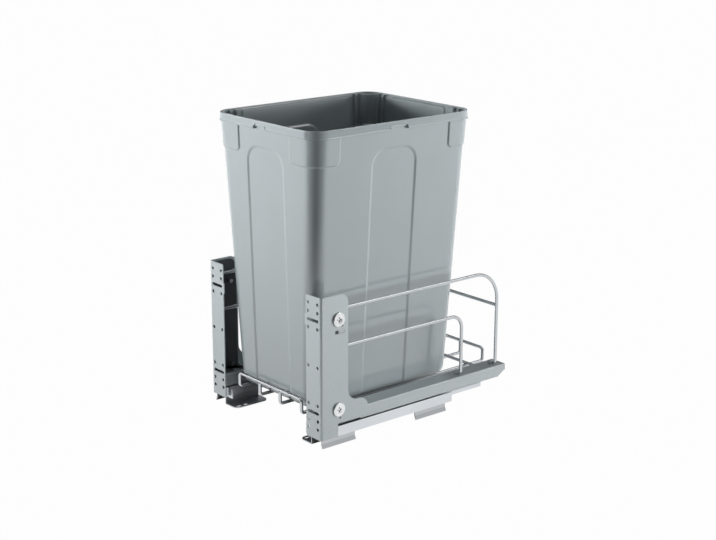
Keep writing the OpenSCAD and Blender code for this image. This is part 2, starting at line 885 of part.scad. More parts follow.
// Closed skin over a stack of outlines with equal numbers of points
module loft(rings) {
    n = len(rings[0]);
    last = len(rings) - 1;
    polyhedron(
        points = [for (ring = rings) each ring],
        faces = concat(
            [[for (i = [0:n - 1]) i], [for (i = [n - 1:-1:0]) last * n + i]],
            [for (k = [0:last - 1], i = [0:n - 1])
                [k * n + i, (k + 1) * n + i, (k + 1) * n + (i + 1) % n, k * n + (i + 1) % n]]));
}

// Tapered body with a rounded lower edge
module bin_body(grow, low, high) {
    loft(concat(
        [for (step = edge_steps)
            bin_ring(low + step[0] * floor_edge_r, grow - step[1] * floor_edge_r)],
        [bin_ring(high, grow)]));
}

// Arched panel, drawn upright from the bin's floor
module panel_outline() {
    top = bin_h - panel_top;
    difference() {
        patch([-panel_half_w, panel_foot], [panel_half_w, top]);
        for (s = [-1, 1])
            corner_cut([s * panel_half_w, top], [-s, -1], panel_r);
    }
}

// Cutters for the sunk panels on all four faces
module panel_cutters() {
    for (turn = [0, 180]) {
        translate([0, bin_mid, bin_z])
            rotate(turn)
                translate([0, -floor_d / 2, 0])
                    rotate([90 + taper_front, 0, 0])
                        translate([0, 0, -panel_depth])
                            linear_extrude(panel_depth + rim_lip)
                                panel_outline();
        translate([0, bin_mid, bin_z])
            rotate(turn + 90)
                translate([0, -floor_w / 2, 0])
                    rotate([90 + taper_side, 0, 0])
                        translate([0, 0, -panel_depth])
                            linear_extrude(panel_depth + rim_lip)
                                panel_outline();
    }
}

// Outline of the corner pads seen square on, for a face of the given half width
module pad_outline(half, length) {
    for (s = [-1, 1])
        difference() {
            patch([min(s * half, s * (half - length)), rim_z - pad_h],
                  [max(s * half, s * (half - length)), rim_z - rim_h / 2]);
            corner_cut([s * (half - length), rim_z - pad_h], [s, 1], pad_r);
        }
}

// Raised pads round the four corners, under the rim
module corner_pads() {
    intersection() {
        bin_body(pad_t, bin_z, rim_z - rim_h / 2);
        translate([0, bin_mid, 0])
            along_y(-rim_d / 2, rim_d / 2)
                pad_outline(rim_w / 2, pad_front_len);
        translate([0, bin_mid, 0])
            along_x(-rim_w / 2, rim_w / 2)
                pad_outline(rim_d / 2, pad_side_len);
    }
}

// Lift-out bin: tapered shell with a rim, corner pads and sunk arched panels
module bin() {
    color("slategray")
        difference() {
            union() {
                difference() {
                    bin_body(0, bin_z, rim_z - rim_h / 2);
                    panel_cutters();
                }
                corner_pads();
                translate([0, bin_mid, rim_z - rim_h])
                    linear_extrude(rim_h)
                        round_patch(rim_w, rim_d, rim_r);
            }
            bin_body(-bin_t, bin_z + bin_t, rim_z + bin_t);
        }
}

for (side = SIDES) {
    placed(side) foot(foot_places()[0]);
    placed(side) foot(foot_places()[1]);
    placed(side) foot_rivets();
    placed(side) cabinet_member();
    placed(side) closing_bumper();
    placed(side) outer_ball_cage();
    placed(side) outer_ball_set();
    placed(side) middle_member();
    placed(side) inner_ball_cage();
    placed(side) inner_ball_set();
    placed(side) drawer_member();
    placed(side) side_rail();
    placed(side) upright();
    placed(side) rivet_nuts();
    placed(side) upper_side_wire();
    placed(side) lower_side_wire();
    placed(side) floor_wire();
    placed(side) door_bracket();
    placed(side) adjuster(cam_z[1]);
    placed(side) adjuster(cam_z[0]);
}
placed() rear_cross_wire();
placed() cradle_loop_wire();
placed() front_floor_cross_wire();
placed() rear_floor_cross_wire();
placed() bin();
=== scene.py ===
"""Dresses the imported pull-out bin frame: coated sheet steel, plated wires, screws and a moulded bin.

Every piece is in metres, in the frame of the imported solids. The sheet and slide solids stay, with
softened edges and finishes of their own, while finer forms stand for the bent wires and the bin.
"""

from __future__ import annotations

import logging
import math
from dataclasses import dataclass, field, replace
from enum import Enum
from typing import Mapping, Sequence, Union

import bpy
import numpy as np
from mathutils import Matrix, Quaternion, Vector


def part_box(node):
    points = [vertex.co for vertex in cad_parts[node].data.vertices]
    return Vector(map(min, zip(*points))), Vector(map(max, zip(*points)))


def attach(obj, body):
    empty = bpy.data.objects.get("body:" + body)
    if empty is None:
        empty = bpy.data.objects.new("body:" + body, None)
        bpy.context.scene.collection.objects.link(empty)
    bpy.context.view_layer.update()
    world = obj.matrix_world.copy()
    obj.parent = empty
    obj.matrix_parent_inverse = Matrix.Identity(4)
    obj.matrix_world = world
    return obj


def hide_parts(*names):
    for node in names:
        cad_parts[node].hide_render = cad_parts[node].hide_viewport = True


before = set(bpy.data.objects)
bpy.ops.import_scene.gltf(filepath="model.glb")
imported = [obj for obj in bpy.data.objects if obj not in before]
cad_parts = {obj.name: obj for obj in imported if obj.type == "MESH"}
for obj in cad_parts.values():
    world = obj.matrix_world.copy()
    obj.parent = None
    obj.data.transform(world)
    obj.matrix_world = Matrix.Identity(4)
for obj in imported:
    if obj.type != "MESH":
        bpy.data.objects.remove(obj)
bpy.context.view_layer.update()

MM = 0.001
LOG = logging.getLogger("bin_frame")
WHITE = (1.0, 1.0, 1.0, 1.0)
EDGE_SEGMENTS = 2

Triple = tuple[float, float, float]
Span = tuple[float, float]
Socket = bpy.types.NodeSocket
Inputs = Mapping[Union[str, int], object]
Number = Union[float, "Field"]
Level = Union[np.ndarray, float]
Face = Union[np.ndarray, int]
Row = tuple[Level, Level, float, float]


class Side(Enum):
    """The two sides of the frame."""

    LEFT = "left"
    RIGHT = "right"

    @property
    def sign(self) -> float:
        """Direction of this side along X."""
        return 1.0 if self is Side.RIGHT else -1.0

    def of(self, stem: str) -> str:
        """Name of this side's node, from the stem that both sides share."""
        return f"{stem}_{self.value}"

    def outer(self, node: str) -> float:
        """Face of a node's box that looks outwards on this side."""
        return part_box(node)[1 if self is Side.RIGHT else 0][0]

    def inner(self, node: str) -> float:
        """Face of a node's box that looks inwards on this side."""
        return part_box(node)[0 if self is Side.RIGHT else 1][0]


class Body(Enum):
    """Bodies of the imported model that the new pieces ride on."""

    CARRIAGE = "carriage"
    BIN = "bin"


class Slot(Enum):
    """Material slots of the record that the new pieces take their finish from."""

    SILVER = "silver_paint"
    WIRE = "wire"
    BIN = "bin_plastic"


class Zone(Enum):
    """Where on a wall of the bin an upright line of points stands."""

    FLAT = "flat"
    STRETCH = "stretch"
    CORNER = "corner"


class Tree:
    """A node tree with short calls for adding nodes and joining them."""

    def __init__(self, tree: bpy.types.NodeTree) -> None:
        """Starts from an empty tree.

        Args:
            tree: The tree to build in.
        """
        self.tree = tree
        tree.nodes.clear()

    def add(self, kind: str, inputs: Inputs | None = None, **settings: object) -> bpy.types.Node:
        """Adds one node.

        Args:
            kind: Blender's name of the node type.
            inputs: Input names or places with a socket to join or a constant to set.
            settings: Properties of the node itself.

        Returns:
            The new node.
        """
        node = self.tree.nodes.new(kind)
        for name, value in settings.items():
            setattr(node, name, value)
        for name, value in (inputs or {}).items():
            if isinstance(value, Field):
                value = value.socket
            if isinstance(value, bpy.types.NodeSocket):
                self.join(value, node.inputs[name])
            else:
                node.inputs[name].default_value = value
        return node

    def join(self, output: Socket, place: Socket) -> None:
        """Joins an output to an input."""
        self.tree.links.new(output, place)


class Field:
    """A number inside a geometry tree that takes part in plain arithmetic."""

    def __init__(self, tree: Tree, socket: Socket) -> None:
        """Wraps one output socket.

        Args:
            tree: The tree that the socket belongs to.
            socket: The output that gives the number.
        """
        self.tree = tree
        self.socket = socket

    def math(self, operation: str, other: Number = 0.0) -> Field:
        """Joins this number and another through one Math node.

        Args:
            operation: The Math node's operation.
            other: The second number.

        Returns:
            The result as a new field.
        """
        node = self.tree.add("ShaderNodeMath", {0: self, 1: other}, operation=operation)
        return Field(self.tree, node.outputs[0])

    def __add__(self, other: Number) -> Field:
        """Sum."""
        return self.math("ADD", other)

    def __sub__(self, other: Number) -> Field:
        """Difference."""
        return self.math("SUBTRACT", other)

    def __mul__(self, other: Number) -> Field:
        """Product."""
        return self.math("MULTIPLY", other)

    def size(self) -> Field:
        """Absolute value."""
        return self.math("ABSOLUTE")

    def most(self, other: Number) -> Field:
        """The larger of the two."""
        return self.math("MAXIMUM", other)

    def least(self, other: Number) -> Field:
        """The smaller of the two."""
        return self.math("MINIMUM", other)

    def beside(self, other: Field) -> Field:
        """Length of the diagonal that this number and another span."""
        return (self * self + other * other).math("SQRT")

    def ease(self, soft: Number) -> Field:
        """Smooth step across zero.

        Args:
            soft: Half the width of the step.

        Returns:
            A field from 0, well below zero, to 1, well above it.
        """
        low = self.tree.add("ShaderNodeMath", {0: soft, 1: -1.0}, operation="MULTIPLY").outputs[0]
        node = self.tree.add(
            "ShaderNodeMapRange",
            {"Value": self, "From Min": low, "From Max": soft, "To Min": 0.0, "To Max": 1.0},
            interpolation_type="SMOOTHSTEP",
        )
        return Field(self.tree, node.outputs["Result"])


class Recipe:
    """A geometry tree with named inputs, run once on a seed mesh to give a plain mesh."""

    def __init__(self, name: str) -> None:
        """Makes the tree with its geometry input, material input and geometry output.

        Args:
            name: Name of the tree.
        """
        self.group = bpy.data.node_groups.new(name, "GeometryNodeTree")
        self.tree = Tree(self.group)
        self.identifiers: dict[str, str] = {}
        self.source = self.tree.add("NodeGroupInput")
        self.sink = self.tree.add("NodeGroupOutput")
        self.socket("Geometry", "NodeSocketGeometry")
        self.socket("Material", "NodeSocketMaterial")
        self.group.interface.new_socket("Geometry", in_out="OUTPUT", socket_type="NodeSocketGeometry")

    def socket(self, name: str, kind: str = "NodeSocketFloat") -> Socket:
        """Adds a named input to the tree.

        Args:
            name: What the input is called.
            kind: Blender's socket type.

        Returns:
            The input's socket inside the tree.
        """
        made = self.group.interface.new_socket(name, in_out="INPUT", socket_type=kind)
        self.identifiers[name] = made.identifier
        return self.source.outputs[name]

    def number(self, name: str) -> Field:
        """Adds a named number input, ready for arithmetic."""
        return Field(self.tree, self.socket(name))

    def stored(self, name: str, kind: str = "FLOAT") -> Socket:
        """Reads an attribute that the seed mesh carries."""
        return self.tree.add("GeometryNodeInputNamedAttribute", {"Name": name}, data_type=kind).outputs[0]

    def close(self, geometry: Socket) -> None:
        """Ends the tree: instances become real and take the material.

        Args:
            geometry: The shape to give out.
        """
        real = self.tree.add("GeometryNodeRealizeInstances", {"Geometry": geometry})
        dressed = self.tree.add(
            "GeometryNodeSetMaterial",
            {"Geometry": real.outputs[0], "Material": self.source.outputs["Material"]},
        )
        self.tree.join(dressed.outputs[0], self.sink.inputs["Geometry"])

    def run(self, seed: bpy.types.Object, values: Mapping[str, object]) -> bpy.types.Object:
        """Turns a seed object into the finished plain mesh.

        Args:
            seed: Object whose mesh carries the points and attributes.
            values: Input names of the tree with their values.

        Returns:
            The same object, with the result as its own mesh and no modifier.
        """
        modifier = seed.modifiers.new(self.group.name, "NODES")
        modifier.node_group = self.group
        for name, value in values.items():
            modifier[self.identifiers[name]] = value
        evaluated = seed.evaluated_get(bpy.context.evaluated_depsgraph_get())
        made = bpy.data.meshes.new_from_object(evaluated)
        old = seed.data
        seed.modifiers.remove(modifier)
        seed.data = made
        bpy.data.meshes.remove(old)
        made.name = seed.name
        return seed


def seed_object(name: str, points: Sequence, edges: Sequence = (), faces: Sequence = ()) -> bpy.types.Object:
    """Makes a linked object from plain lists.

    Args:
        name: Name of the object and its mesh.
        points: Vertex places.
        edges: Vertex pairs.
        faces: Vertex rings.

    Returns:
        The new object, at the origin.
    """
    mesh = bpy.data.meshes.new(name)
    mesh.from_pydata([tuple(p) for p in points], list(edges), list(faces))
    made = bpy.data.objects.new(name, mesh)
    bpy.context.scene.collection.objects.link(made)
    return made


def store(mesh: bpy.types.Mesh, name: str, values: Sequence | np.ndarray) -> None:
    """Keeps one value per vertex on a mesh.

    Args:
        mesh: The mesh.
        name: Name of the attribute.
        values: Numbers, or triples of numbers.
    """
    data = np.asarray(values, np.float32)
    kind, field_name = ("FLOAT", "value") if data.ndim == 1 else ("FLOAT_VECTOR", "vector")
    mesh.attributes.new(name, kind, "POINT").data.foreach_set(field_name, data.ravel())


def soften(piece: bpy.types.Object, width: float) -> bpy.types.BevelModifier:
    """Rounds the sharp edges of a piece.

    Args:
        piece: The piece.
        width: Width of the rounded edges.

    Returns:
        The modifier, for settings of its own.
    """
    bevel = piece.modifiers.new("soften", "BEVEL")
    bevel.width = width
    bevel.segments = EDGE_SEGMENTS
    return bevel


# Where on the slow drift the darkest and the lightest colour lie
DRIFT_ENDS = (0.25, 0.75)
# Painted shade in recesses: how open a recess is where its colour is darkest and where it is full, and the
# share of the colour that is left there
PAINTED_SHADE_LEVELS = {"From Min": 0.45, "From Max": 0.9, "To Min": 0.03, "To Max": 1.0}


@dataclass(frozen=True)
class Finish:
    """A surface finish on Object coordinates: slow drift of colour and gloss over a fine grain.

    Attributes:
        name: Name of the material.
        colour: Base colour, linear.
        roughness: Mean roughness.
        metallic: Share of bare metal.
        specular: Specular level.
        coat: Weight of the clear coat.
        grain: Size of the fine grain.
        grain_depth: Height of the fine grain.
        patch: Size of the slow drift.
        drift: Share by which the colour drifts.
        gloss_drift: How far the roughness drifts.
        stretch: Scale of the pattern along X, Y and Z.
        painted_shade_reach: Reach of the painted shade that darkens the colour down in recesses, zero for
            none.
    """

    name: str
    colour: Triple
    roughness: float
    metallic: float = 0.0
    specular: float = 0.5
    coat: float = 0.0
    grain: float = 0.8 * MM
    grain_depth: float = 0.01 * MM
    patch: float = 30 * MM
    drift: float = 0.05
    gloss_drift: float = 0.05
    stretch: Triple = (1.0, 1.0, 1.0)
    painted_shade_reach: float = 0.0

    def make(self) -> bpy.types.Material:
        """Builds the material, or finds it if it is there already.

        Returns:
            The material.
        """
        found = bpy.data.materials.get(self.name)
        if found:
            return found
        material = bpy.data.materials.new(self.name)
        material.use_nodes = True
        tree = Tree(material.node_tree)
        shader = tree.add(
            "ShaderNodeBsdfPrincipled",
            {"Metallic": self.metallic, "Specular IOR Level": self.specular, "Coat Weight": self.coat},
        )
        place = tree.add(
            "ShaderNodeMapping",
            {"Vector": tree.add("ShaderNodeTexCoord").outputs["Object"], "Scale": self.stretch},
        ).outputs[0]
        share = self.pattern(tree, place)
        colour = self.tint(tree, share)
        # Painted shade: where the finish asks for it, the base colour is darkened in recesses
        tree.join(self.shaded(tree, colour) if self.painted_shade_reach else colour, shader.inputs["Base Color"])
        tree.join(self.gloss(tree, share), shader.inputs["Roughness"])
        tree.join(self.relief(tree, place), shader.inputs["Normal"])
        tree.add("ShaderNodeOutputMaterial", {"Surface": shader.outputs[0]})
        return material

    def pattern(self, tree: Tree, place: Socket) -> Socket:
        """Slow noise that both the colour and the gloss follow.

        Args:
            tree: The material's tree.
            place: Coordinates of the surface.

        Returns:
            A share from 0 to 1.
        """
        noise = tree.add("ShaderNodeTexNoise", {"Vector": place, "Scale": 1 / self.patch, "Detail": 3.0})
        return noise.outputs[0]

    def tint(self, tree: Tree, share: Socket) -> Socket:
        """Colour that drifts with the pattern.

        Args:
            tree: The material's tree.
            share: The pattern.

        Returns:
            The colour socket.
        """
        ramp = tree.add("ShaderNodeValToRGB", {"Fac": share})
        levels = (1 - self.drift, 1 + self.drift)
        for element, position, level in zip(ramp.color_ramp.elements, DRIFT_ENDS, levels):
            element.position = position
            element.color = (*(channel * level for channel in self.colour), 1.0)
        return ramp.outputs["Color"]

    def shaded(self, tree: Tree, colour: Socket) -> Socket:
        """Colour with painted shade, darker down in recesses.

        Args:
            tree: The material's tree.
            colour: The colour in the open.

        Returns:
            The colour socket.
        """
        # Ambient occlusion sets how far the painted shade darkens the colour
        nook = tree.add("ShaderNodeAmbientOcclusion", {"Distance": self.painted_shade_reach}).outputs["AO"]
        level = tree.add("ShaderNodeMapRange", {"Value": nook, **PAINTED_SHADE_LEVELS}).outputs["Result"]
        shade_darkened = tree.add("ShaderNodeVectorMath", {0: colour, "Scale": level}, operation="SCALE")
        return shade_darkened.outputs["Vector"]

    def gloss(self, tree: Tree, share: Socket) -> Socket:
        """Roughness that drifts with the pattern.

        Args:
            tree: The material's tree.
            share: The pattern.

        Returns:
            The roughness socket.
        """
        spread = {"To Min": self.roughness - self.gloss_drift, "To Max": self.roughness + self.gloss_drift}
        return tree.add("ShaderNodeMapRange", {"Value": share, **spread}).outputs["Result"]

    def relief(self, tree: Tree, place: Socket) -> Socket:
        """Fine grain as a bump.

        Args:
            tree: The material's tree.
            place: Coordinates of the surface.

        Returns:
            The normal socket.
        """
        noise = tree.add("ShaderNodeTexNoise", {"Vector": place, "Scale": 1 / self.grain, "Detail": 2.0})
        bump = {"Height": noise.outputs[0], "Distance": self.grain_depth, "Strength": 1.0}
        return tree.add("ShaderNodeBump", bump).outputs[0]


@dataclass(frozen=True)
class SpangledFinish(Finish):
    """A metal finish whose drift is broken into small crystals or flakes.

    Attributes:
        crystal: Size of one crystal.
    """

    crystal: float = 4 * MM

    def pattern(self, tree: Tree, place: Socket) -> Socket:
        """Random level for each crystal.

        Args:
            tree: The material's tree.
            place: Coordinates of the surface.

        Returns:
            A share from 0 to 1.
        """
        cells = tree.add("ShaderNodeTexVoronoi", {"Vector": place, "Scale": 1 / self.crystal})
        return tree.add("ShaderNodeSeparateColor", {"Color": cells.outputs["Color"]}).outputs[0]


SILVER_COAT = SpangledFinish(
    name="silver_powder_coat",
    colour=(0.55, 0.60, 0.62),
    roughness=0.36,
    metallic=0.35,
    grain=1.1 * MM,
    grain_depth=0.012 * MM,
    drift=0.05,
    crystal=0.5 * MM,
)
ZINC = Finish(
    name="zinc_plated_steel",
    colour=(0.66, 0.69, 0.72),
    roughness=0.30,
    metallic=1.0,
    grain=0.5 * MM,
    grain_depth=0.003 * MM,
    patch=16 * MM,
    drift=0.05,
    gloss_drift=0.05,
    stretch=(1.0, 0.2, 1.0),
)
DULL_ZINC = replace(ZINC, name="dull_zinc_feet", colour=(0.52, 0.54, 0.56), roughness=0.42)
# Near-black steel that paints the shade inside the brackets: uprights and rivet nuts darkened for the shade
# they sit in, not their own colour
SHADE_DARK_STEEL = Finish(
    name="shade_painted_dark_steel",
    colour=(0.10, 0.105, 0.11),
    roughness=0.45,
    metallic=0.2,
    grain=0.9 * MM,
    grain_depth=0.01 * MM,
    drift=0.12,
)
WIRE_PLATE = Finish(
    name="bright_plated_wire",
    colour=(0.58, 0.60, 0.62),
    roughness=0.22,
    metallic=1.0,
    grain=0.35 * MM,
    grain_depth=0.002 * MM,
    patch=12 * MM,
    drift=0.05,
    gloss_drift=0.05,
)
NICKEL = Finish(
    name="nickel_screw",
    colour=(0.78, 0.79, 0.80),
    roughness=0.22,
    metallic=1.0,
    grain=0.4 * MM,
    grain_depth=0.003 * MM,
    patch=5 * MM,
    drift=0.05,
    # Painted shade darkens the colour down in the heads' cross recesses
    painted_shade_reach=2.5 * MM,
)
POLISHED = Finish(
    name="polished_ball_steel",
    colour=(0.80, 0.81, 0.83),
    roughness=0.08,
    metallic=1.0,
    grain_depth=0.0005 * MM,
    patch=3 * MM,
    drift=0.03,
    gloss_drift=0.03,
)
NYLON = Finish(
    name="nylon_cage",
    colour=(0.62, 0.63, 0.62),
    roughness=0.5,
    grain=0.4 * MM,
    drift=0.06,
)
RUBBER = Finish(
    name="black_rubber",
    colour=(0.02, 0.02, 0.022),
    roughness=0.7,
    grain=0.5 * MM,
    grain_depth=0.02 * MM,
    drift=0.15,
)
BIN_PLASTIC = Finish(
    name="grey_moulded_plastic",
    colour=(0.42, 0.473, 0.493),
    roughness=0.08,
    specular=1.0,
    grain=0.9 * MM,
    grain_depth=0.003 * MM,
    patch=60 * MM,
    drift=0.02,
    gloss_drift=0.02,
)


@dataclass
class KeptSolids:
    """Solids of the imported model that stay, with softened edges and a finish.

    Attributes:
        edge: Width of the softened edges.
        bend: Width of the rails' rounded edges.
        crease: Angle past which an edge is softened.
        merge: Distance within which loose corners are one.
        flat: Angle up to which neighbouring faces are one.
    """

    edge: float = 0.25 * MM
    bend: float = 0.6 * MM
    crease: float = math.radians(20)
    merge: float = 0.004 * MM
    flat: float = math.radians(0.5)

    def finishes(self) -> dict[str, Finish]:
        """Which finish each kind of solid takes.

        Returns:
            Stems of the solids' names with their finishes.
        """
        return {
            "side_rail": SILVER_COAT,
            "door_bracket": SILVER_COAT,
            # painted shade: the uprights are darkened for the shade inside the brackets
            "upright": SHADE_DARK_STEEL,
            "foot_front": DULL_ZINC,
            "foot_rear": DULL_ZINC,
            "foot_rivets": ZINC,
            # painted shade: the rivet nuts are darkened for the shade inside the brackets
            "rivet_nuts": SHADE_DARK_STEEL,
            "cabinet_member": ZINC,
            "middle_member": ZINC,
            "drawer_member": ZINC,
            "inner_ball_cage": NYLON,
            "outer_ball_cage": NYLON,
            "inner_balls": POLISHED,
            "outer_balls": POLISHED,
            "upper_adjuster": NICKEL,
            "lower_adjuster": NICKEL,
            "closing_bumper": RUBBER,
        }

    def dress(self, node: bpy.types.Object, finish: Finish) -> None:
        """Gives one solid its finish and soft edges.

        Args:
            node: The solid's object.
            finish: What it is coated with.
        """
        for place in node.material_slots:
            place.material = finish.make()
        if finish is POLISHED:
            return
        weld = node.modifiers.new("merge", "WELD")
        weld.merge_threshold = self.merge
        flatten = node.modifiers.new("flatten", "DECIMATE")
        flatten.decimate_type = "DISSOLVE"
        flatten.angle_limit = self.flat
        bevel = soften(node, self.bend if "side_rail" in node.name else self.edge)
        bevel.limit_method = "ANGLE"
        bevel.angle_limit = self.crease
        smooth = node.modifiers.new("shade", "WEIGHTED_NORMAL")
        smooth.keep_sharp = False

    def build(self) -> None:
        """Dresses the solids of both sides."""
        for stem, finish in self.finishes().items():
            for side in Side:
                self.dress(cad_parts[side.of(stem)], finish)
                LOG.info("%s: %s", side.of(stem), finish.name)


@dataclass
class BracketTongues:
    """Sheet tongues that lie aslant in the windows under the upper adjusters.

    Attributes:
        front: Start of a tongue behind the adjuster's centre.
        rear: Its end behind the adjuster's centre.
        low: Its lower edge above the adjuster's centre.
        high: Its upper edge above the adjuster's centre.
        sunk: How deep its free front end lies.
        flush: How deep its rear end lies.
        sheet: Its thickness.
        edge: Width of its rounded edges.
    """

    front: float = 0.5 * MM
    rear: float = 10.8 * MM
    low: float = -20.3 * MM
    high: float = -15.7 * MM
    sunk: float = 0.9 * MM
    flush: float = 0.1 * MM
    sheet: float = 0.5 * MM
    edge: float = 0.12 * MM

    def tongue(self, side: Side) -> bpy.types.Object:
        """One tongue, a thin slanting block.

        Args:
            side: Which bracket it belongs to.

        Returns:
            The piece.
        """
        low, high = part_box(side.of("upper_adjuster"))
        y, z = (low[1] + high[1]) / 2, (low[2] + high[2]) / 2
        plate = side.outer(side.of("door_bracket"))
        corners = []
        for depth in (0.0, self.sheet):
            for along, sink in ((self.front, self.sunk), (self.rear, self.flush)):
                for up in (self.low, self.high):
                    corners.append((plate - side.sign * (sink + depth), y + along, z + up))
        faces = [(0, 2, 3, 1), (4, 5, 7, 6), (0, 1, 5, 4), (2, 6, 7, 3), (0, 4, 6, 2), (1, 3, 7, 5)]
        if side is Side.LEFT:
            faces = [ring[::-1] for ring in faces]
        return seed_object(side.of("bracket_tongue"), corners, (), faces)

    def build(self) -> None:
        """Sets a tongue in each bracket."""
        for side in Side:
            piece = self.tongue(side)
            piece.data.materials.append(SILVER_COAT.make())
            soften(piece, self.edge)
            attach(piece, side.of("bracket"))
            LOG.info("%s: tongue in the window", piece.name)


@dataclass(frozen=True)
class WireRun:
    """One bent wire as the corners of its centre line.

    Attributes:
        node: The solid that it stands for.
        corners: Places of the corners.
        bends: Bend radius at each corner, zero at the ends.
        closed: Whether the last corner joins the first.
    """

    node: str
    corners: tuple[Vector, ...]
    bends: tuple[float, ...]
    closed: bool = False

    @property
    def edges(self) -> list[tuple[int, int]]:
        """Pairs of neighbouring corners."""
        count = len(self.corners)
        return [(i, (i + 1) % count) for i in range(count if self.closed else count - 1)]


FLOOR_CROSS_WIRES = ("front_floor_cross_wire", "rear_floor_cross_wire")


@dataclass
class CarriageWires:
    """The plated wires of the carriage, bent from the boxes of their solids, and their weld beads.

    Attributes:
        upper_bend: Radius of the high side wires' rear bend.
        lower_bend: Radius of the low side wires' rear bend.
        foot_bend: Radius where a side wire turns in on to its rail.
        loop_bend: Radius of the cradle's bends.
        sides: Points round a wire.
        steps: Points in a bend.
        crease: Angle past which an edge is shaded sharp.
        bead: Mean size of a weld bead.
        bead_least: Smallest scale of a bead along X, Y and Z.
        bead_most: Largest scale of a bead along X, Y and Z.
        bead_seed: Seed of the beads' sizes.
        cross_apart: Half the distance between the beads of a crossing, in wire radii.
        foot_apart: Half the distance between the beads of a foot or a cross wire's end, in wire radii.
        foot_in: Where the beads of a foot begin past its bend, in wire radii.
        end_in: How far the beads lie in from a cross wire's end, in wire radii.
        front_in: How far the beads of a front end lie in from the upright's outer face.
        front_welds: Places of these beads behind the front end.
        radius: Radius of the wires.
    """

    upper_bend: float = 44 * MM
    lower_bend: float = 20 * MM
    foot_bend: float = 6 * MM
    loop_bend: float = 4.5 * MM
    sides: int = 20
    steps: int = 14
    crease: float = math.radians(50)
    bead: float = 1.3 * MM
    bead_least: Triple = (0.75, 0.75, 0.6)
    bead_most: Triple = (1.2, 1.2, 0.9)
    bead_seed: int = 4
    cross_apart: float = 0.5
    foot_apart: float = 0.8
    foot_in: float = 2.4
    end_in: float = 0.3
    front_in: float = 2.2 * MM
    front_welds: Triple = (3 * MM, 9 * MM, 34 * MM)
    radius: float = field(init=False)

    def __post_init__(self) -> None:
        """Takes the wires' radius from the rear cross wire."""
        low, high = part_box("rear_cross_wire")
        self.radius = (high[2] - low[2]) / 2

    @property
    def side_bends(self) -> dict[str, float]:
        """Rear bend of each kind of side wire, by the stem of its name."""
        return {"upper_side_wire": self.upper_bend, "lower_side_wire": self.lower_bend}

    def side_wire(self, stem: str, side: Side, bend: float) -> WireRun:
        """Centre line of a side wire.

        Args:
            stem: Node name without its side.
            side: Which side it is on.
            bend: Radius of the rear bend.

        Returns:
            The run from the front end to the foot on the rail.
        """
        node = side.of(stem)
        low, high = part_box(node)
        r = self.radius
        outer, inner = side.outer(node) - side.sign * r, side.inner(node)
        top, foot, leg = high[2] - r, low[2] + r, high[1] - r
        corners = ((outer, low[1], top), (outer, leg, top), (outer, leg, foot), (inner, leg, foot))
        return WireRun(node, tuple(Vector(c) for c in corners), (0.0, bend, self.foot_bend, 0.0))

    def cradle_loop(self) -> WireRun:
        """Centre line of the closed loop that holds the bin's foot.

        Returns:
            The run from the front lip's right end round to its left end.
        """
        low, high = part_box("cradle_loop_wire")
        r = self.radius
        span, front, rear = high[0] - r, low[1] + r, high[1] - r
        floor, lip = low[2] + r, high[2] - r
        half = ((span, front, lip), (span, front, floor), (span, rear, floor), (span, rear, lip))
        corners = [Vector(c) for c in half]
        corners += [Vector((-c.x, c.y, c.z)) for c in reversed(corners)]
        bends = (self.loop_bend,) * len(corners)
        return WireRun("cradle_loop_wire", tuple(corners), bends, closed=True)

    def floor_wire(self, side: Side) -> WireRun:
        """Centre line of a floor wire that rises to both lips.

        Args:
            side: Which side it is on.

        Returns:
            The run from the front lip to the rear lip.
        """
        node = side.of("floor_wire")
        low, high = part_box(node)
        r = self.radius
        x, front, rear, floor = (low[0] + high[0]) / 2, low[1] + r, high[1] - r, low[2] + r
        corners = ((x, front, high[2]), (x, front, floor), (x, rear, floor), (x, rear, high[2]))
        bends = (0.0, self.loop_bend, self.loop_bend, 0.0)
        return WireRun(node, tuple(Vector(c) for c in corners), bends)

    def cross_wire(self, node: str) -> WireRun:
        """Centre line of a straight cross wire.

        Args:
            node: The solid that it stands for.

        Returns:
            The run from left to right.
        """
        low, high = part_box(node)
        y, z = (low[1] + high[1]) / 2, (low[2] + high[2]) / 2
        return WireRun(node, (Vector((low[0], y, z)), Vector((high[0], y, z))), (0.0, 0.0))

    def runs(self) -> list[WireRun]:
        """Every wire of the carriage.

        Returns:
            The cradle's loop, the wires of both sides and the cross wires.
        """
        found = [self.cradle_loop()]
        for side in Side:
            found += [self.side_wire(stem, side, bend) for stem, bend in self.side_bends.items()]
            found.append(self.floor_wire(side))
        return found + [self.cross_wire(node) for node in ("rear_cross_wire", *FLOOR_CROSS_WIRES)]

    def wire_recipe(self) -> Recipe:
        """Tree that rounds a centre line's corners and sweeps a circle along it.

        Returns:
            The tree, with inputs Radius, Sides and Steps.
        """
        recipe = Recipe("bent_wire")
        radius = recipe.socket("Radius")
        sides = recipe.socket("Sides", "NodeSocketInt")
        steps = recipe.socket("Steps", "NodeSocketInt")
        tree = recipe.tree
        line = tree.add("GeometryNodeMeshToCurve", {"Mesh": recipe.source.outputs["Geometry"]})
        rounded = tree.add(
            "GeometryNodeFilletCurve",
            {"Curve": line.outputs[0], "Count": steps, "Radius": recipe.stored("bend"), "Limit Radius": True},
            mode="POLY",
        )
        ring = tree.add("GeometryNodeCurvePrimitiveCircle", {"Resolution": sides, "Radius": radius})
        swept = tree.add(
            "GeometryNodeCurveToMesh",
            {"Curve": rounded.outputs[0], "Profile Curve": ring.outputs["Curve"], "Fill Caps": True},
        )
        recipe.close(tree.add("GeometryNodeSetShadeSmooth", {0: swept.outputs[0]}).outputs[0])
        return recipe

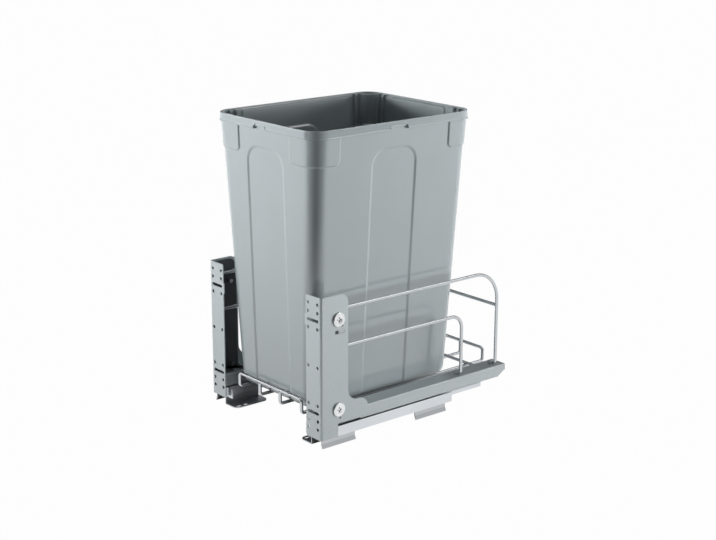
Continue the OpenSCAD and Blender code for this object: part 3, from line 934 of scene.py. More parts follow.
    def bead_recipe(self) -> Recipe:
        """Tree that sets a lump of weld on every point, sized at random.

        Returns:
            The tree, with inputs Bead and Seed.
        """
        recipe = Recipe("weld_beads")
        bead = recipe.socket("Bead")
        seed = recipe.socket("Seed", "NodeSocketInt")
        tree = recipe.tree
        lump = tree.add("GeometryNodeMeshIcoSphere", {"Radius": bead, "Subdivisions": 3})
        size = tree.add(
            "FunctionNodeRandomValue",
            {"Min": self.bead_least, "Max": self.bead_most, "Seed": seed},
            data_type="FLOAT_VECTOR",
        )
        spread = tree.add(
            "GeometryNodeInstanceOnPoints",
            {
                "Points": recipe.source.outputs["Geometry"],
                "Instance": lump.outputs["Mesh"],
                "Scale": size.outputs["Value"],
            },
        )
        recipe.close(tree.add("GeometryNodeSetShadeSmooth", {0: spread.outputs[0]}).outputs[0])
        return recipe

    def paired(self, place: Triple, apart: Triple) -> list[Vector]:
        """The two beads on either side of a place."""
        return [Vector(place) - Vector(apart), Vector(place) + Vector(apart)]

    def crossing_welds(self) -> list[Vector]:
        """Beads where the floor's cross wires pass the wires of the cradle.

        Returns:
            Their places.
        """
        r = self.radius
        loop_low, loop_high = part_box("cradle_loop_wire")
        span = loop_high[0] - r
        floor_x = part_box("floor_wire_right")[1][0] - r
        places = []
        for node in FLOOR_CROSS_WIRES:
            low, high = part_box(node)
            y = (low[1] + high[1]) / 2
            z = low[2] + 2 * r if low[2] < loop_low[2] else low[2]
            for x in (-span, -floor_x, floor_x, span):
                places += self.paired((x, y, z), (self.cross_apart * r, 0.0, 0.0))
        return places

    def lip_welds(self, side: Side) -> list[Vector]:
        """Beads where a floor wire meets both lips.

        Args:
            side: Which floor wire it is.

        Returns:
            Their places.
        """
        r = self.radius
        low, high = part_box(side.of("floor_wire"))
        x = (low[0] + high[0]) / 2
        places = []
        for y in (low[1] + r, high[1] - r):
            places += self.paired((x, y, high[2]), (r, 0.0, 0.0))
        return places

    def side_welds(self, stem: str, side: Side) -> list[Vector]:
        """Beads at a side wire's foot and along its front end.

        Args:
            stem: Node name without its side.
            side: Which side it is on.

        Returns:
            Their places.
        """
        r = self.radius
        node = side.of(stem)
        low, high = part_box(node)
        foot_from = side.outer(node) - side.sign * (self.foot_in * r + self.foot_bend)
        places = []
        for x in (foot_from, side.inner(node) + side.sign * r):
            places += self.paired((x, high[1] - r, low[2]), (0.0, self.foot_apart * r, 0.0))
        sheet = side.outer(side.of("upright")) - side.sign * self.front_in
        for behind in self.front_welds:
            places += self.paired((sheet, low[1] + behind, high[2] - r), (0.0, 0.0, r))
        return places

    def end_welds(self, side: Side) -> list[Vector]:
        """Beads at one end of the rear cross wire.

        Args:
            side: Which end it is.

        Returns:
            Their places.
        """
        r = self.radius
        low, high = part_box("rear_cross_wire")
        x = side.outer("rear_cross_wire") - side.sign * self.end_in * r
        place = (x, (low[1] + high[1]) / 2, (low[2] + high[2]) / 2)
        return self.paired(place, (0.0, 0.0, self.foot_apart * r))

    def weld_places(self) -> list[Vector]:
        """Where wires cross or meet the sheet.

        Returns:
            The places of all the beads.
        """
        places = self.crossing_welds()
        for side in Side:
            places += self.lip_welds(side)
            for stem in self.side_bends:
                places += self.side_welds(stem, side)
            places += self.end_welds(side)
        return places

    def build(self) -> None:
        """Makes the wires and the weld beads, riding on the carriage."""
        recipe = self.wire_recipe()
        plate = WIRE_PLATE.make()
        values = {"Radius": self.radius, "Sides": self.sides, "Steps": self.steps, "Material": plate}
        for run in self.runs():
            piece = seed_object(f"{run.node}_swept", run.corners, run.edges)
            store(piece.data, "bend", run.bends)
            recipe.run(piece, values)
            piece.data.set_sharp_from_angle(angle=self.crease)
            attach(piece, Body.CARRIAGE.value)
            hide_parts(run.node)
            LOG.info("%s: %d corners, %d faces", piece.name, len(run.corners), len(piece.data.polygons))
        places = self.weld_places()
        beads = seed_object("weld_beads", places)
        self.bead_recipe().run(beads, {"Bead": self.bead, "Seed": self.bead_seed, "Material": plate})
        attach(beads, Body.CARRIAGE.value)
        LOG.info("weld_beads: %d beads", len(places))


# The bin's faces, counted round from the right side, which are a side and a front or back in turn
BIN_FACES = range(4)
# Rim's lower bead: rise in millimetres, and share of the bead's reach
RIM_BEAD = ((0.15, 0.5), (0.5, 0.9), (0.9, 1.0), (1.4, 0.85), (1.8, 0.35), (2.2, 0.0), (2.8, 0.0))
# Rim's top edge, outside and inside: drop and inset in millimetres
RIM_OUTER_EDGE = ((1.8, 0.0), (1.2, 0.0), (0.6, 0.1), (0.25, 0.3), (0.05, 0.65), (0.0, 0.95))
RIM_INNER_EDGE = ((0.0, 0.8), (0.05, 0.5), (0.25, 0.2), (0.6, 0.0))
# Ledge inside the rim: drop in millimetres, and share of the way to the wall
RIM_LEDGE = ((0.0, 0.0), (0.3, 0.1), (0.9, 0.85), (1.3, 0.97), (1.8, 1.0))
# Scales in plan of the underside's rows: in its hollow, at the hollow's edge and on the standing ring
HOLLOW_ROWS = (0.3, 0.6, 0.86)
HOLLOW_EDGE = 0.885
STANDING_ROWS = (0.91, 0.96)
# Scales in plan of the rows on the floor inside
FLOOR_ROWS = (0.7, 0.3)


@dataclass
class MouldedBin:
    """The lift-out bin: a tapered shell with sunk arch panels, raised corner pads, a rolled rim and fins.

    Attributes:
        floor_width: Outer width at the foot.
        floor_depth: Outer depth at the foot.
        neck_width: Outer width under the rim.
        neck_depth: Outer depth under the rim.
        corner: Radius of the upright corners.
        wall: Wall thickness.
        floor_edge: Radius of the lower edge.
        rim: Height from the neck, where the taper ends, to the rim's top.
        rim_deep: Height of the rim's outer band.
        rim_gap: Height of the band along the short gaps in its lower edge.
        gap_side: Where the gap begins and ends on a side, and the middle of its nick.
        gap_front: The same on the front and back.
        gap_nick: How far the nick at a gap's end reaches above the gap.
        nick_half: Half the width of the nick.
        rim_wall: Thickness of the rim at its foot.
        rim_root: Share of the rim's reach at which its underside turns up.
        rim_lean: How far the band leans in from its foot to its top.
        ledge: Drop from the rim's top to the ledge inside it.
        lip: How far the rim stands out from the wall.
        bead: How far the rim's lower bead stands out of the band.
        panel_half: Half the width of an arch panel.
        panel_top: Drop from the rim's top to an arch's top.
        arch: Radius of an arch's shoulders.
        panel_depth: How deep the panels are sunk.
        panel_soft: Half the width of the panels' edges.
        pad_drop: Drop from the rim's top to the lower edge of the pads.
        pad_depth: How far the pads stand out.
        pad_front: Where a pad begins on the front and back, from the middle.
        pad_side: Where a pad begins on the sides, from the middle.
        pad_corner: Radius of a pad's lower corner.
        pad_soft: Half the width of the pads' edges.
        base_sink: How deep the underside is hollowed.
        fin_reach: How far the fins stand out of the pads' inner face.
        fin_root: How deep the fins are rooted in the wall.
        fin_thick: Thickness of the fins.
        fin_edge: Width of the fins' rounded edges.
        fin_top: Drop from the rim's top to the fins' upper ends.
        fin_low: Drop from the rim's top to the fins' lower ends.
        fins_front: Places of the fins on the front and back, from the middle.
        fins_side: Places of the fins on the sides, from the middle.
        margin: How far the close lines reach outside the relief.
        past_panel: How far they reach past a panel's soft edge.
        panel_step: Distance between lines across the panels' edges.
        pad_step: Distance between upright lines across the pads' edges.
        pad_row_step: Distance between rows across the pads' lower edges.
        plain_step: Distance between upright lines on the plain wall.
        plain_rows: Number of rows on the plain wall.
        corner_steps: Steps round an upright corner.
        stretch_steps: Steps from the last fixed line to a corner.
        foot_steps: Steps round the lower edge outside.
        inner_steps: Steps round the lower edge inside.
        crease: Angle past which an edge is shaded sharp.
        middle: Place of the bin in plan.
        base: Height of its foot.
        height: Height of the bin.
        neck: Height of the neck above the foot.
        face: Face of each upright line.
        zone: Zone of each upright line.
        spot: Place of each upright line in its zone.
        flat_end: Last fixed line of each face.
    """

    floor_width: float = 174 * MM
    floor_depth: float = 264 * MM
    neck_width: float = 224 * MM
    neck_depth: float = 288 * MM
    corner: float = 22 * MM
    wall: float = 2.8 * MM
    floor_edge: float = 14 * MM
    rim: float = 10 * MM
    rim_deep: float = 12.4 * MM
    rim_gap: float = 8.4 * MM
    gap_side: Triple = (-14 * MM, 19 * MM, 16.5 * MM)
    gap_front: Triple = (-18.5 * MM, 8 * MM, -15.5 * MM)
    gap_nick: float = 1.6 * MM
    nick_half: float = 1.7 * MM
    rim_wall: float = 2.9 * MM
    rim_root: float = 0.9
    rim_lean: float = 0.9 * MM
    ledge: float = 3 * MM
    lip: float = 4.5 * MM
    bead: float = 0.6 * MM
    panel_half: float = 40 * MM
    panel_top: float = 38 * MM
    arch: float = 24 * MM
    panel_depth: float = 1.6 * MM
    panel_soft: float = 2.4 * MM
    pad_drop: float = 50 * MM
    pad_depth: float = 1.7 * MM
    pad_front: float = 57.5 * MM
    pad_side: float = 99.5 * MM
    pad_corner: float = 7 * MM
    pad_soft: float = 1.5 * MM
    base_sink: float = 2 * MM
    fin_reach: float = 4.5 * MM
    fin_root: float = 0.8 * MM
    fin_thick: float = 2.0 * MM
    fin_edge: float = 0.3 * MM
    fin_top: float = 1.6 * MM
    fin_low: float = 66 * MM
    fins_front: tuple[float, ...] = (77 * MM, 88 * MM)
    fins_side: tuple[float, ...] = (111 * MM, 122 * MM)
    margin: float = 2 * MM
    past_panel: float = 0.6 * MM
    panel_step: float = 0.9 * MM
    pad_step: float = 0.6 * MM
    pad_row_step: float = 0.45 * MM
    plain_step: float = 8 * MM
    plain_rows: int = 22
    corner_steps: int = 12
    stretch_steps: int = 4
    foot_steps: int = 8
    inner_steps: int = 5
    crease: float = math.radians(60)
    middle: Span = field(init=False)
    base: float = field(init=False)
    height: float = field(init=False)
    neck: float = field(init=False)
    face: np.ndarray = field(init=False)
    zone: np.ndarray = field(init=False)
    spot: np.ndarray = field(init=False)
    flat_end: np.ndarray = field(init=False)

    def __post_init__(self) -> None:
        """Takes the bin's place and height from its solid and lays out the upright lines."""
        low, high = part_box("bin")
        self.middle = ((low[0] + high[0]) / 2, (low[1] + high[1]) / 2)
        self.base = low[2]
        self.height = high[2] - low[2]
        self.neck = self.height - self.rim
        self.lay_out()

    def is_side(self, face: Face) -> Face:
        """Whether a face is one of the two sides."""
        return face % 2 == 0

    def half_sizes(self, z: Level) -> tuple[np.ndarray, np.ndarray]:
        """Half width and half depth of the plain wall.

        Args:
            z: Height above the bin's foot.

        Returns:
            Half width and half depth at that height.
        """
        share = np.minimum(np.asarray(z, float), self.neck) / self.neck
        width = self.floor_width + (self.neck_width - self.floor_width) * share
        depth = self.floor_depth + (self.neck_depth - self.floor_depth) * share
        return width / 2, depth / 2

    def fixed_lines(self, face: int) -> np.ndarray:
        """Upright lines of half a face that stay at their distance from its middle.

        Args:
            face: Which face it is.

        Returns:
            Their distances, from the middle outwards.
        """
        side = self.is_side(face)
        pad = self.pad_side if side else self.pad_front
        plain = (self.floor_depth if side else self.floor_width) / 2 - self.corner
        arch_from = self.panel_half - self.arch - self.margin
        arch_to = self.panel_half + self.panel_soft + self.past_panel
        before_pad, short_of_corner = 2.2 * MM, 1 * MM
        after_panel, short_of_pad = 5 * MM, 4 * MM
        pad_to = min(pad + self.pad_corner, plain - short_of_corner)
        lines = (
            np.arange(1, 5) * arch_from / 5,
            np.arange(arch_from, arch_to, self.panel_step),
            np.arange(self.panel_half + after_panel, pad - short_of_pad, self.plain_step),
            np.arange(pad - before_pad, pad_to, self.pad_step),
            self.gap_lines(face),
        )
        return np.unique(np.round(np.concatenate(lines), 6))

    def lay_out(self) -> None:
        """Places the upright lines round the outline, closer where the relief changes."""
        stretch = np.arange(1, self.stretch_steps + 1) / self.stretch_steps
        angles = np.arange(1, self.corner_steps) / self.corner_steps * math.pi / 2
        faces, zones, places = [], [], []
        for face in BIN_FACES:
            half = self.fixed_lines(face)
            flat = np.concatenate((-half[::-1], (0.0,), half))
            parts = (
                (Zone.STRETCH, -stretch[::-1]),
                (Zone.FLAT, flat),
                (Zone.STRETCH, stretch),
                (Zone.CORNER, angles),
            )
            for zone, line in parts:
                faces += [face] * len(line)
                zones += [zone.value] * len(line)
                places += list(line)
        self.face = np.array(faces)
        self.zone = np.array(zones)
        self.spot = np.array(places)
        is_flat = self.zone == Zone.FLAT.value
        ends = [np.max(np.abs(self.spot[is_flat & (self.face == face)])) for face in BIN_FACES]
        self.flat_end = np.array(ends)

    def gap_lines(self, face: int) -> np.ndarray:
        """Extra lines on both sides of the steps in the rim's lower edge.

        Args:
            face: Which face it is.

        Returns:
            Their distances from the face's middle.
        """
        close = 0.4 * MM
        return np.concatenate([abs(place) + np.array((-close, close)) for place in self.gap_steps(face)])

    def gap_steps(self, face: int) -> tuple[float, ...]:
        """Places where the rim's lower edge changes height on a face.

        Args:
            face: Which face it is.

        Returns:
            Start and end of the gap, and start and end of its nick.
        """
        start, end, nick = self.gap_side if self.is_side(face) else self.gap_front
        return start, end, nick - self.nick_half, nick + self.nick_half

    def outline(self, z: Level, offset: Level) -> tuple[np.ndarray, np.ndarray, np.ndarray]:
        """Places of every upright line at one height.

        Args:
            z: Height above the foot.
            offset: Distance outwards from the plain wall.

        Returns:
            Points in plan, outward directions in plan, and distance along each wall from its middle.
        """
        half_width, half_depth = self.half_sizes(z)
        is_side = self.is_side(self.face)
        normal = np.where(is_side, half_width, half_depth)
        end = np.where(is_side, half_depth, half_width) - self.corner
        fixed = self.flat_end[self.face]
        along = np.where(
            self.zone == Zone.STRETCH.value,
            np.sign(self.spot) * (fixed + np.abs(self.spot) * (end - fixed)),
            self.spot,
        )
        is_corner = self.zone == Zone.CORNER.value
        angle = np.where(is_corner, self.spot, 0.0)
        bend = self.corner + offset
        out = np.where(is_corner, normal - self.corner + bend * np.cos(angle), normal + offset)
        across = np.where(is_corner, end + bend * np.sin(angle), along)
        turn = self.face * math.pi / 2
        cos, sin = np.cos(turn), np.sin(turn)
        points = np.stack((out * cos - across * sin, out * sin + across * cos), axis=1)
        outward = np.stack((np.cos(turn + angle), np.sin(turn + angle)), axis=1)
        past_all_relief = 1.0
        return points, outward, np.where(is_corner, past_all_relief, along)

    def skirt(self) -> np.ndarray:
        """Height of the rim's band, with the short gap on each face and its nick.

        Returns:
            The height at every upright line.
        """
        band = np.full(len(self.face), self.rim_deep)
        for face in BIN_FACES:
            start, end, nick_from, nick_to = self.gap_steps(face)
            flat = (self.face == face) & (self.zone == Zone.FLAT.value)
            band[flat & (self.spot > start) & (self.spot < end)] = self.rim_gap
            band[flat & (self.spot > nick_from) & (self.spot < nick_to)] = self.rim_gap - self.gap_nick
        return band

    def lean(self, z: Level) -> Level:
        """How far the rim's band has leant in at a height above the foot."""
        return self.rim_lean * (z - self.height + self.rim_deep) / self.rim_deep

    def rows(self) -> list[Row]:
        """The shell's rows from its underside up the outside, over the rim and down the inside.

        Returns:
            For each row its height, its distance outwards, its share of the relief and its scale in plan.
        """
        heights = self.wall_heights()
        outside = [(z, 0.0, 1.0, 1.0) for z in heights]
        inside = [(z, -self.wall, 1.0, 1.0) for z in reversed(heights)]
        return self.foot_rows() + outside + self.rim_rows() + inside + self.floor_rows()

    def foot_rows(self) -> list[Row]:
        """Rows of the underside and the rounded lower edge.

        Returns:
            The rows from the middle outwards and up.
        """
        inset = -self.floor_edge
        found: list[Row] = [(self.base_sink, inset, 0.0, scale) for scale in HOLLOW_ROWS]
        found.append((self.base_sink / 2, inset, 0.0, HOLLOW_EDGE))
        found += [(0.0, inset, 0.0, scale) for scale in STANDING_ROWS]
        for angle in np.arange(0, self.foot_steps + 1) / self.foot_steps * math.pi / 2:
            inward = self.floor_edge * (1 - math.sin(angle))
            found.append((self.floor_edge * (1 - math.cos(angle)), -inward, math.sin(angle), 1.0))
        return found

    def rim_rows(self) -> list[Row]:
        """Rows of the rim, from its lower edge over its top to the ledge inside.

        Returns:
            The rows in that order.
        """
        band = self.height - self.skirt()
        out = self.lip - self.bead
        inside = out - self.rim_wall
        found: list[Row] = [(band, 0.0, 1.0, 1.0), (band, out * self.rim_root, 0.0, 1.0)]
        for rise, proud in RIM_BEAD:
            z = band + rise * MM
            found.append((z, out - self.lean(z) + proud * self.bead, 0.0, 1.0))
        for drop, inset in RIM_OUTER_EDGE:
            z = self.height - drop * MM
            found.append((z, out - self.lean(z) - inset * MM, 0.0, 1.0))
        for drop, inset in RIM_INNER_EDGE:
            found.append((self.height - drop * MM, inside + inset * MM, 0.0, 1.0))
        for drop, share in RIM_LEDGE:
            z = self.height - self.ledge - drop * MM
            found.append((z, inside + (-self.wall - inside) * share, share, 1.0))
        return found

    def floor_rows(self) -> list[Row]:
        """Rows of the rounded lower edge and the floor inside.

        Returns:
            The rows downwards and to the middle.
        """
        inner = self.floor_edge - self.wall
        found: list[Row] = []
        for angle in np.arange(0, self.inner_steps + 1) / self.inner_steps * math.pi / 2:
            inward = self.wall + inner * (1 - math.cos(angle))
            found.append((self.floor_edge - inner * math.sin(angle), -inward, math.cos(angle), 1.0))
        return found + [(self.wall, -self.floor_edge, 0.0, scale) for scale in FLOOR_ROWS]

    def wall_heights(self) -> list[float]:
        """Heights of the wall's rows, closer where panels and pads begin and end.

        Returns:
            The heights above the foot, upwards.
        """
        top = self.height - self.panel_top
        pad = self.height - self.pad_drop
        above_foot, below_arch = 4 * MM, 8 * MM
        plain_from, plain_to = self.floor_edge + above_foot, top - self.arch - below_arch
        arch_to = top + self.panel_soft + self.past_panel
        heights = (
            np.linspace(plain_from, plain_to, self.plain_rows),
            np.arange(top - self.arch - self.margin, arch_to, self.panel_step),
            np.arange(pad - self.margin, pad + self.margin, self.pad_row_step),
            top + np.array((6, 14)) * MM,
            (self.height - self.rim_deep - self.margin,),
        )
        return [float(z) for z in np.unique(np.round(np.concatenate(heights), 5))]

    def relief_recipe(self) -> Recipe:
        """Tree that sinks the arch panels and raises the corner pads along stored outward directions.

        Returns:
            The tree, with the panel's and the pad's sizes as named inputs.
        """
        recipe = Recipe("bin_relief")
        number = recipe.number
        tree = recipe.tree
        along = Field(tree, recipe.stored("along")).size()
        z = Field(tree, recipe.stored("height"))
        half, top, arch = number("Panel Half"), number("Panel Top"), number("Arch Radius")
        dx = along - (half - arch)
        dz = z - (top - arch)
        outside = dx.most(0.0).beside(dz.most(0.0))
        panel_edge = arch - outside - dx.most(dz).least(0.0)
        panel = panel_edge.ease(number("Panel Edge")) * number("Panel Depth")
        pad_corner = number("Pad Corner")
        beside_pad = (pad_corner - (along - Field(tree, recipe.stored("pad_from")))).most(0.0)
        under_pad = (pad_corner - (z - number("Pad Low"))).most(0.0)
        pad = (pad_corner - beside_pad.beside(under_pad)).ease(number("Pad Edge")) * number("Pad Depth")
        push = (pad - panel) * Field(tree, recipe.stored("relief"))
        move = tree.add(
            "ShaderNodeVectorMath",
            {"Vector": recipe.stored("outward", "FLOAT_VECTOR"), "Scale": push},
            operation="SCALE",
        )
        moved = tree.add(
            "GeometryNodeSetPosition",
            {"Geometry": recipe.source.outputs["Geometry"], "Offset": move.outputs["Vector"]},
        )
        recipe.close(tree.add("GeometryNodeSetShadeSmooth", {0: moved.outputs[0]}).outputs[0])
        return recipe

    def relief_sizes(self) -> dict[str, float]:
        """Values of the relief tree's named inputs.

        Returns:
            Input names with their sizes.
        """
        return {
            "Panel Half": self.panel_half,
            "Panel Top": self.height - self.panel_top,
            "Arch Radius": self.arch,
            "Panel Edge": self.panel_soft,
            "Panel Depth": self.panel_depth,
            "Pad Edge": self.pad_soft,
            "Pad Corner": self.pad_corner,
            "Pad Low": self.height - self.pad_drop,
            "Pad Depth": self.pad_depth,
        }

    def shell(self) -> bpy.types.Object:
        """Lays the rows of the shell and runs the relief tree on them.

        Returns:
            The finished shell.
        """
        rows = self.rows()
        count = len(self.face)
        pad_from = np.where(self.is_side(self.face), self.pad_side, self.pad_front)
        points: list[np.ndarray] = []
        stored: dict[str, list[np.ndarray]] = {
            name: [] for name in ("outward", "along", "height", "relief", "pad_from")
        }
        for z, offset, share, scale in rows:
            plan, direction, distance = self.outline(z, offset)
            level = np.broadcast_to(np.asarray(z, float), (count,))
            points.append(np.column_stack((plan * scale + np.array(self.middle), level + self.base)))
            stored["outward"].append(np.column_stack((direction, np.zeros(count))))
            stored["along"].append(distance)
            stored["height"].append(level)
            stored["relief"].append(np.full(count, share))
            stored["pad_from"].append(pad_from)
        ring = np.arange(count)
        after = (ring + 1) % count
        faces: list[Sequence[int]] = [list(ring[::-1])]
        for row in range(len(rows) - 1):
            a, b = row * count, (row + 1) * count
            faces += np.stack((a + ring, a + after, b + after, b + ring), axis=1).tolist()
        faces.append(list((len(rows) - 1) * count + ring))
        piece = seed_object("bin_shell", np.concatenate(points).tolist(), (), faces)
        for name, values in stored.items():
            store(piece.data, name, np.concatenate(values))
        self.relief_recipe().run(piece, {**self.relief_sizes(), "Material": BIN_PLASTIC.make()})
        for name in stored:
            piece.data.attributes.remove(piece.data.attributes[name])
        piece.data.set_sharp_from_angle(angle=self.crease)
        return piece

    def fin_recipe(self) -> Recipe:
        """Tree that stands a thin fin on every point.

        Returns:
            The tree, with input Fin Size and the stored turn of each point.
        """
        recipe = Recipe("corner_fins")
        size = recipe.socket("Fin Size", "NodeSocketVector")
        tree = recipe.tree
        block = tree.add("GeometryNodeMeshCube", {"Size": size})
        spread = tree.add(
            "GeometryNodeInstanceOnPoints",
            {
                "Points": recipe.source.outputs["Geometry"],
                "Instance": block.outputs["Mesh"],
                "Rotation": recipe.stored("turn", "FLOAT_VECTOR"),
            },
        )
        recipe.close(spread.outputs[0])
        return recipe

    def fins(self) -> bpy.types.Object:
        """Stands the fins inside the walls near the corners, under the rim.

        Returns:
            The fins as one piece.
        """
        top, low = self.height - self.fin_top, self.height - self.fin_low
        middle = (top + low) / 2
        half_width, half_depth = self.half_sizes(middle)
        lean_side = math.atan2(self.neck_width - self.floor_width, 2 * self.neck)
        lean_front = math.atan2(self.neck_depth - self.floor_depth, 2 * self.neck)
        inner = self.corner - self.wall
        places, turns = [], []
        for face in BIN_FACES:
            side = self.is_side(face)
            out, across = (half_width, half_depth) if side else (half_depth, half_width)
            turn = face * math.pi / 2
            for along in self.fins_side if side else self.fins_front:
                past = max(along - across + self.corner, 0.0)
                sag = inner - math.sqrt(inner**2 - past**2)
                depth = out - self.wall + self.pad_depth - sag - (self.fin_reach - self.fin_root) / 2
                for sign in (-1, 1):
                    x = depth * math.cos(turn) - sign * along * math.sin(turn)
                    y = depth * math.sin(turn) + sign * along * math.cos(turn)
                    places.append(Vector((x + self.middle[0], y + self.middle[1], self.base + middle)))
                    turns.append((0.0, lean_side if side else lean_front, turn))
        piece = seed_object("bin_fins", places)
        store(piece.data, "turn", turns)
        size = (self.fin_reach + self.fin_root, self.fin_thick, top - low)
        self.fin_recipe().run(piece, {"Fin Size": size, "Material": BIN_PLASTIC.make()})
        soften(piece, self.fin_edge)
        return piece

    def build(self) -> None:
        """Makes the bin's shell and fins, riding on the bin."""
        shell = self.shell()
        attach(shell, Body.BIN.value)
        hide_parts("bin")
        LOG.info("bin_shell: %d faces", len(shell.data.polygons))
        fins = self.fins()
        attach(fins, Body.BIN.value)
        LOG.info("bin_fins: %d faces", len(fins.data.polygons))


@dataclass(frozen=True)
class Softbox:
    """A large soft lamp aimed at the object.

    Attributes:
        name: Name of the lamp.
        place: Where it hangs.
        size: Width and height.
        power: Power in watts.
        spread: Opening angle of the beam, narrow as behind a grid.
        shown: Whether shiny pieces mirror it.
    """

    name: str
    place: Triple
    size: Span
    power: float
    spread: float = math.radians(75)
    shown: bool = False

    def hang(self, target: Vector) -> None:
        """Makes the lamp.

        Args:
            target: What it is aimed at.
        """
        data = bpy.data.lights.new(self.name, "AREA")
        data.shape = "RECTANGLE"
        data.size, data.size_y = self.size
        data.energy = self.power
        data.spread = self.spread
        lamp = bpy.data.objects.new(self.name, data)
        lamp.location = self.place
        lamp.rotation_mode = "QUATERNION"
        lamp.rotation_quaternion = (target - Vector(self.place)).to_track_quat("-Z", "Y")
        lamp.visible_camera = False
        lamp.visible_glossy = self.shown
        bpy.context.scene.collection.objects.link(lamp)


LAMPS = (
    Softbox("left_softbox", (-1.15, -1.25, 0.53), (1.1, 0.34), 3.45, math.radians(52)),
    Softbox("left_front", (-1.16, -1.26, 0.53), (1.1, 0.34), 3.6, math.pi, shown=True),
    Softbox("rear_softbox", (1.15, 1.35, 0.32), (1.1, 0.78), 4.8, math.radians(58)),
    Softbox("rear_high", (1.2, 1.4, 1.7), (1.2, 0.4), 4.5, math.pi, shown=True),
    Softbox("front_fill", (1.5, -1.27, 0.48), (0.8, 0.3), 0.6),
)


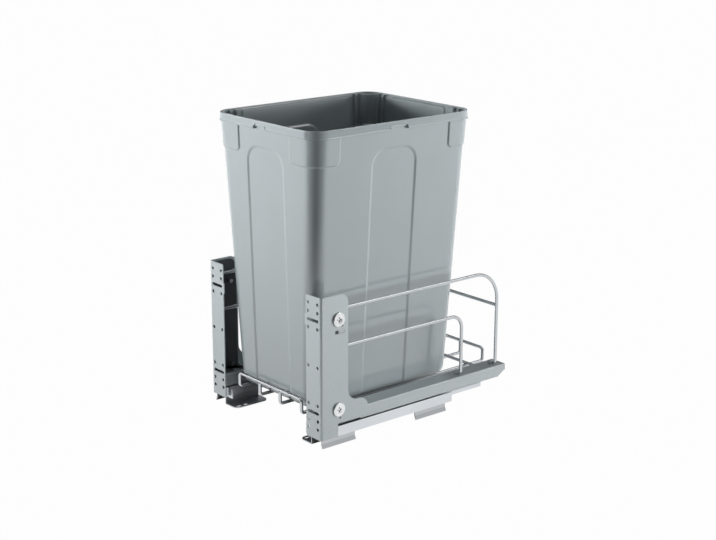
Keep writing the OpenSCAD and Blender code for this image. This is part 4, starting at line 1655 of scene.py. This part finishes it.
@dataclass
class Studio:
    """Floor, world, lamps and camera of the photograph.

    Attributes:
        eye: Where the camera stands.
        aim: What the camera looks at.
        roll: Turn of the camera about its own axis.
        lens: Focal length in millimetres.
        sensor: Width of the camera's frame in millimetres.
        lamp_aim: What the lamps are aimed at.
        floor_size: Side of the square floor.
        floor_drop: How far the floor lies under the feet.
        floor_grey: Colour of the floor under the lamps.
        floor_white: Share of plain white in the floor that the camera sees.
        shade_reach: How far round the object its mirrored floor is shaded.
        shade_open: How open the floor is where that shade is full, and where it ends.
        shade_least: Brightness of the mirrored floor in full shade.
        floor_fade: Where the mirrored floor begins to fade towards the camera, and where it has faded.
        ambient: Strength of the world for diffuse light.
        dim: Brightness of the room behind the camera, as shiny pieces show it.
        dark_side: Where the room is dim, high on the left and behind the camera.
        lit: Brightness of the room on its lit side, as shiny pieces show it.
        room_fade: Where the lit side begins to fade along the dark side's direction, and where it has faded.
        above_fade: Where the bright ceiling begins to fade along the way down, and where it has faded.
    """

    eye: Triple = (1.6474, -1.4006, 0.7985)
    aim: Triple = (0.0041, -0.0123, 0.2010)
    roll: float = math.radians(0.12)
    lens: float = 76.08
    sensor: float = 36.0
    lamp_aim: Triple = (0.0, 0.0, 0.44)
    floor_size: float = 40.0
    floor_drop: float = 0.3 * MM
    floor_grey: Triple = (0.1, 0.1, 0.1)
    floor_white: float = 0.985
    shade_reach: float = 0.3
    shade_open: Span = (0.17, 0.47)
    shade_least: float = 0.02
    floor_fade: Span = (0.45, 1.0)
    ambient: float = 0.09
    dim: float = 0.10
    dark_side: Triple = (-0.45, -0.65, 0.4)
    lit: float = 0.7
    room_fade: Span = (-0.35, 0.05)
    above_fade: Span = (-0.9, -0.65)

    def camera(self) -> None:
        """Sets the camera at the photograph's viewpoint."""
        data = bpy.data.cameras.new("camera")
        data.lens = self.lens
        data.sensor_width = self.sensor
        data.sensor_fit = "HORIZONTAL"
        made = bpy.data.objects.new("camera", data)
        made.location = self.eye
        made.rotation_mode = "QUATERNION"
        look = (Vector(self.aim) - Vector(self.eye)).to_track_quat("-Z", "Y")
        made.rotation_quaternion = look @ Quaternion((0.0, 0.0, 1.0), self.roll)
        bpy.context.scene.collection.objects.link(made)
        bpy.context.scene.camera = made

    def towards_eye(self) -> Triple:
        """Level direction from the object to the camera.

        Returns:
            The direction, one long.
        """
        level = Vector(self.eye) - Vector(self.aim)
        level.z = 0.0
        return tuple(level.normalized())

    def fade(self, tree: Tree, place: Socket, way: Triple, ends: Span, bright: float = 1.0) -> Socket:
        """Brightness that fades to dim along a direction.

        Args:
            tree: The tree to build in.
            place: A point or direction.
            way: The direction along which it fades.
            ends: Where it begins to fade, and where it has faded.
            bright: Its brightness before it fades.

        Returns:
            The brightness.
        """
        reach = tree.add("ShaderNodeVectorMath", {0: place, 1: way}, operation="DOT_PRODUCT")
        levels = {"From Min": ends[0], "From Max": ends[1], "To Min": bright, "To Max": self.dim}
        inputs = {"Value": reach.outputs["Value"], **levels}
        return tree.add("ShaderNodeMapRange", inputs, interpolation_type="SMOOTHSTEP").outputs["Result"]

    def by_ray(
        self, tree: Tree, lit: bpy.types.Node, mirrored: bpy.types.Node, seen: bpy.types.Node
    ) -> Socket:
        """Chooses a shader by the kind of ray that meets it.

        Args:
            tree: The tree to build in.
            lit: What diffuse light meets.
            mirrored: What shiny and clear pieces show.
            seen: What the camera sees.

        Returns:
            The mixed shader.
        """
        ray = tree.add("ShaderNodeLightPath").outputs
        either = {0: ray["Is Glossy Ray"], 1: ray["Is Transmission Ray"]}
        shiny = tree.add("ShaderNodeMath", either, operation="MAXIMUM").outputs[0]
        other = tree.add("ShaderNodeMixShader", {0: shiny, 1: lit.outputs[0], 2: mirrored.outputs[0]})
        choice = {0: ray["Is Camera Ray"], 1: other.outputs[0], 2: seen.outputs[0]}
        return tree.add("ShaderNodeMixShader", choice).outputs[0]

    def world(self) -> None:
        """Makes a world that is white to the camera, and to shiny pieces on the backdrop's side."""
        world = bpy.data.worlds.new("studio_world")
        world.use_nodes = True
        bpy.context.scene.world = world
        tree = Tree(world.node_tree)
        direction = tree.add("ShaderNodeTexCoord").outputs["Generated"]
        around = self.fade(tree, direction, self.dark_side, self.room_fade, self.lit)
        above = self.fade(tree, direction, (0.0, 0.0, -1.0), self.above_fade)
        room = tree.add("ShaderNodeMath", {0: around, 1: above}, operation="MAXIMUM").outputs[0]
        lit = tree.add("ShaderNodeBackground", {"Color": WHITE, "Strength": self.ambient})
        mirrored = tree.add("ShaderNodeBackground", {"Color": WHITE, "Strength": room})
        white = tree.add("ShaderNodeBackground", {"Color": WHITE, "Strength": 1.0})
        tree.add("ShaderNodeOutputWorld", {"Surface": self.by_ray(tree, lit, mirrored, white)})

    def floor(self) -> None:
        """Lays a white floor that keeps the object's faint shadow."""
        half = self.floor_size / 2
        corners = [(x * half, y * half, -self.floor_drop) for x, y in ((-1, -1), (1, -1), (1, 1), (-1, 1))]
        piece = seed_object("studio_floor", corners, (), [(0, 1, 2, 3)])
        material = bpy.data.materials.new("white_floor")
        material.use_nodes = True
        tree = Tree(material.node_tree)
        place = tree.add("ShaderNodeTexCoord").outputs["Object"]
        paper = tree.add("ShaderNodeBsdfDiffuse", {"Color": (*self.floor_grey, 1.0)})
        white = tree.add("ShaderNodeEmission", {"Color": WHITE, "Strength": 1.0})
        shares = {0: self.floor_white, 1: paper.outputs[0], 2: white.outputs[0]}
        kept = tree.add("ShaderNodeMixShader", shares)
        open_sky = tree.add("ShaderNodeAmbientOcclusion", {"Distance": self.shade_reach}).outputs["AO"]
        shut, clear = self.shade_open
        levels = {"From Min": shut, "From Max": clear, "To Min": self.shade_least, "To Max": 1.0}
        shade = tree.add("ShaderNodeMapRange", {"Value": open_sky, **levels}).outputs["Result"]
        near = self.fade(tree, place, self.towards_eye(), self.floor_fade)
        room = tree.add("ShaderNodeMath", {0: near, 1: shade}, operation="MULTIPLY").outputs[0]
        mirrored = tree.add("ShaderNodeEmission", {"Color": WHITE, "Strength": room})
        tree.add("ShaderNodeOutputMaterial", {"Surface": self.by_ray(tree, paper, mirrored, kept)})
        piece.data.materials.append(material)

    def build(self) -> None:
        """Sets up floor, world, lamps and camera."""
        self.world()
        self.floor()
        for lamp in LAMPS:
            lamp.hang(Vector(self.lamp_aim))
        self.camera()
        bpy.context.scene.view_settings.view_transform = "Standard"
        LOG.info("studio: %d lamps, camera at %s", len(LAMPS), self.eye)


def main() -> None:
    """Builds every piece and the studio in order."""
    logging.basicConfig(level=logging.INFO, format="%(name)s %(message)s")
    KeptSolids().build()
    BracketTongues().build()
    CarriageWires().build()
    MouldedBin().build()
    Studio().build()


if __name__ == "__main__":
    main()
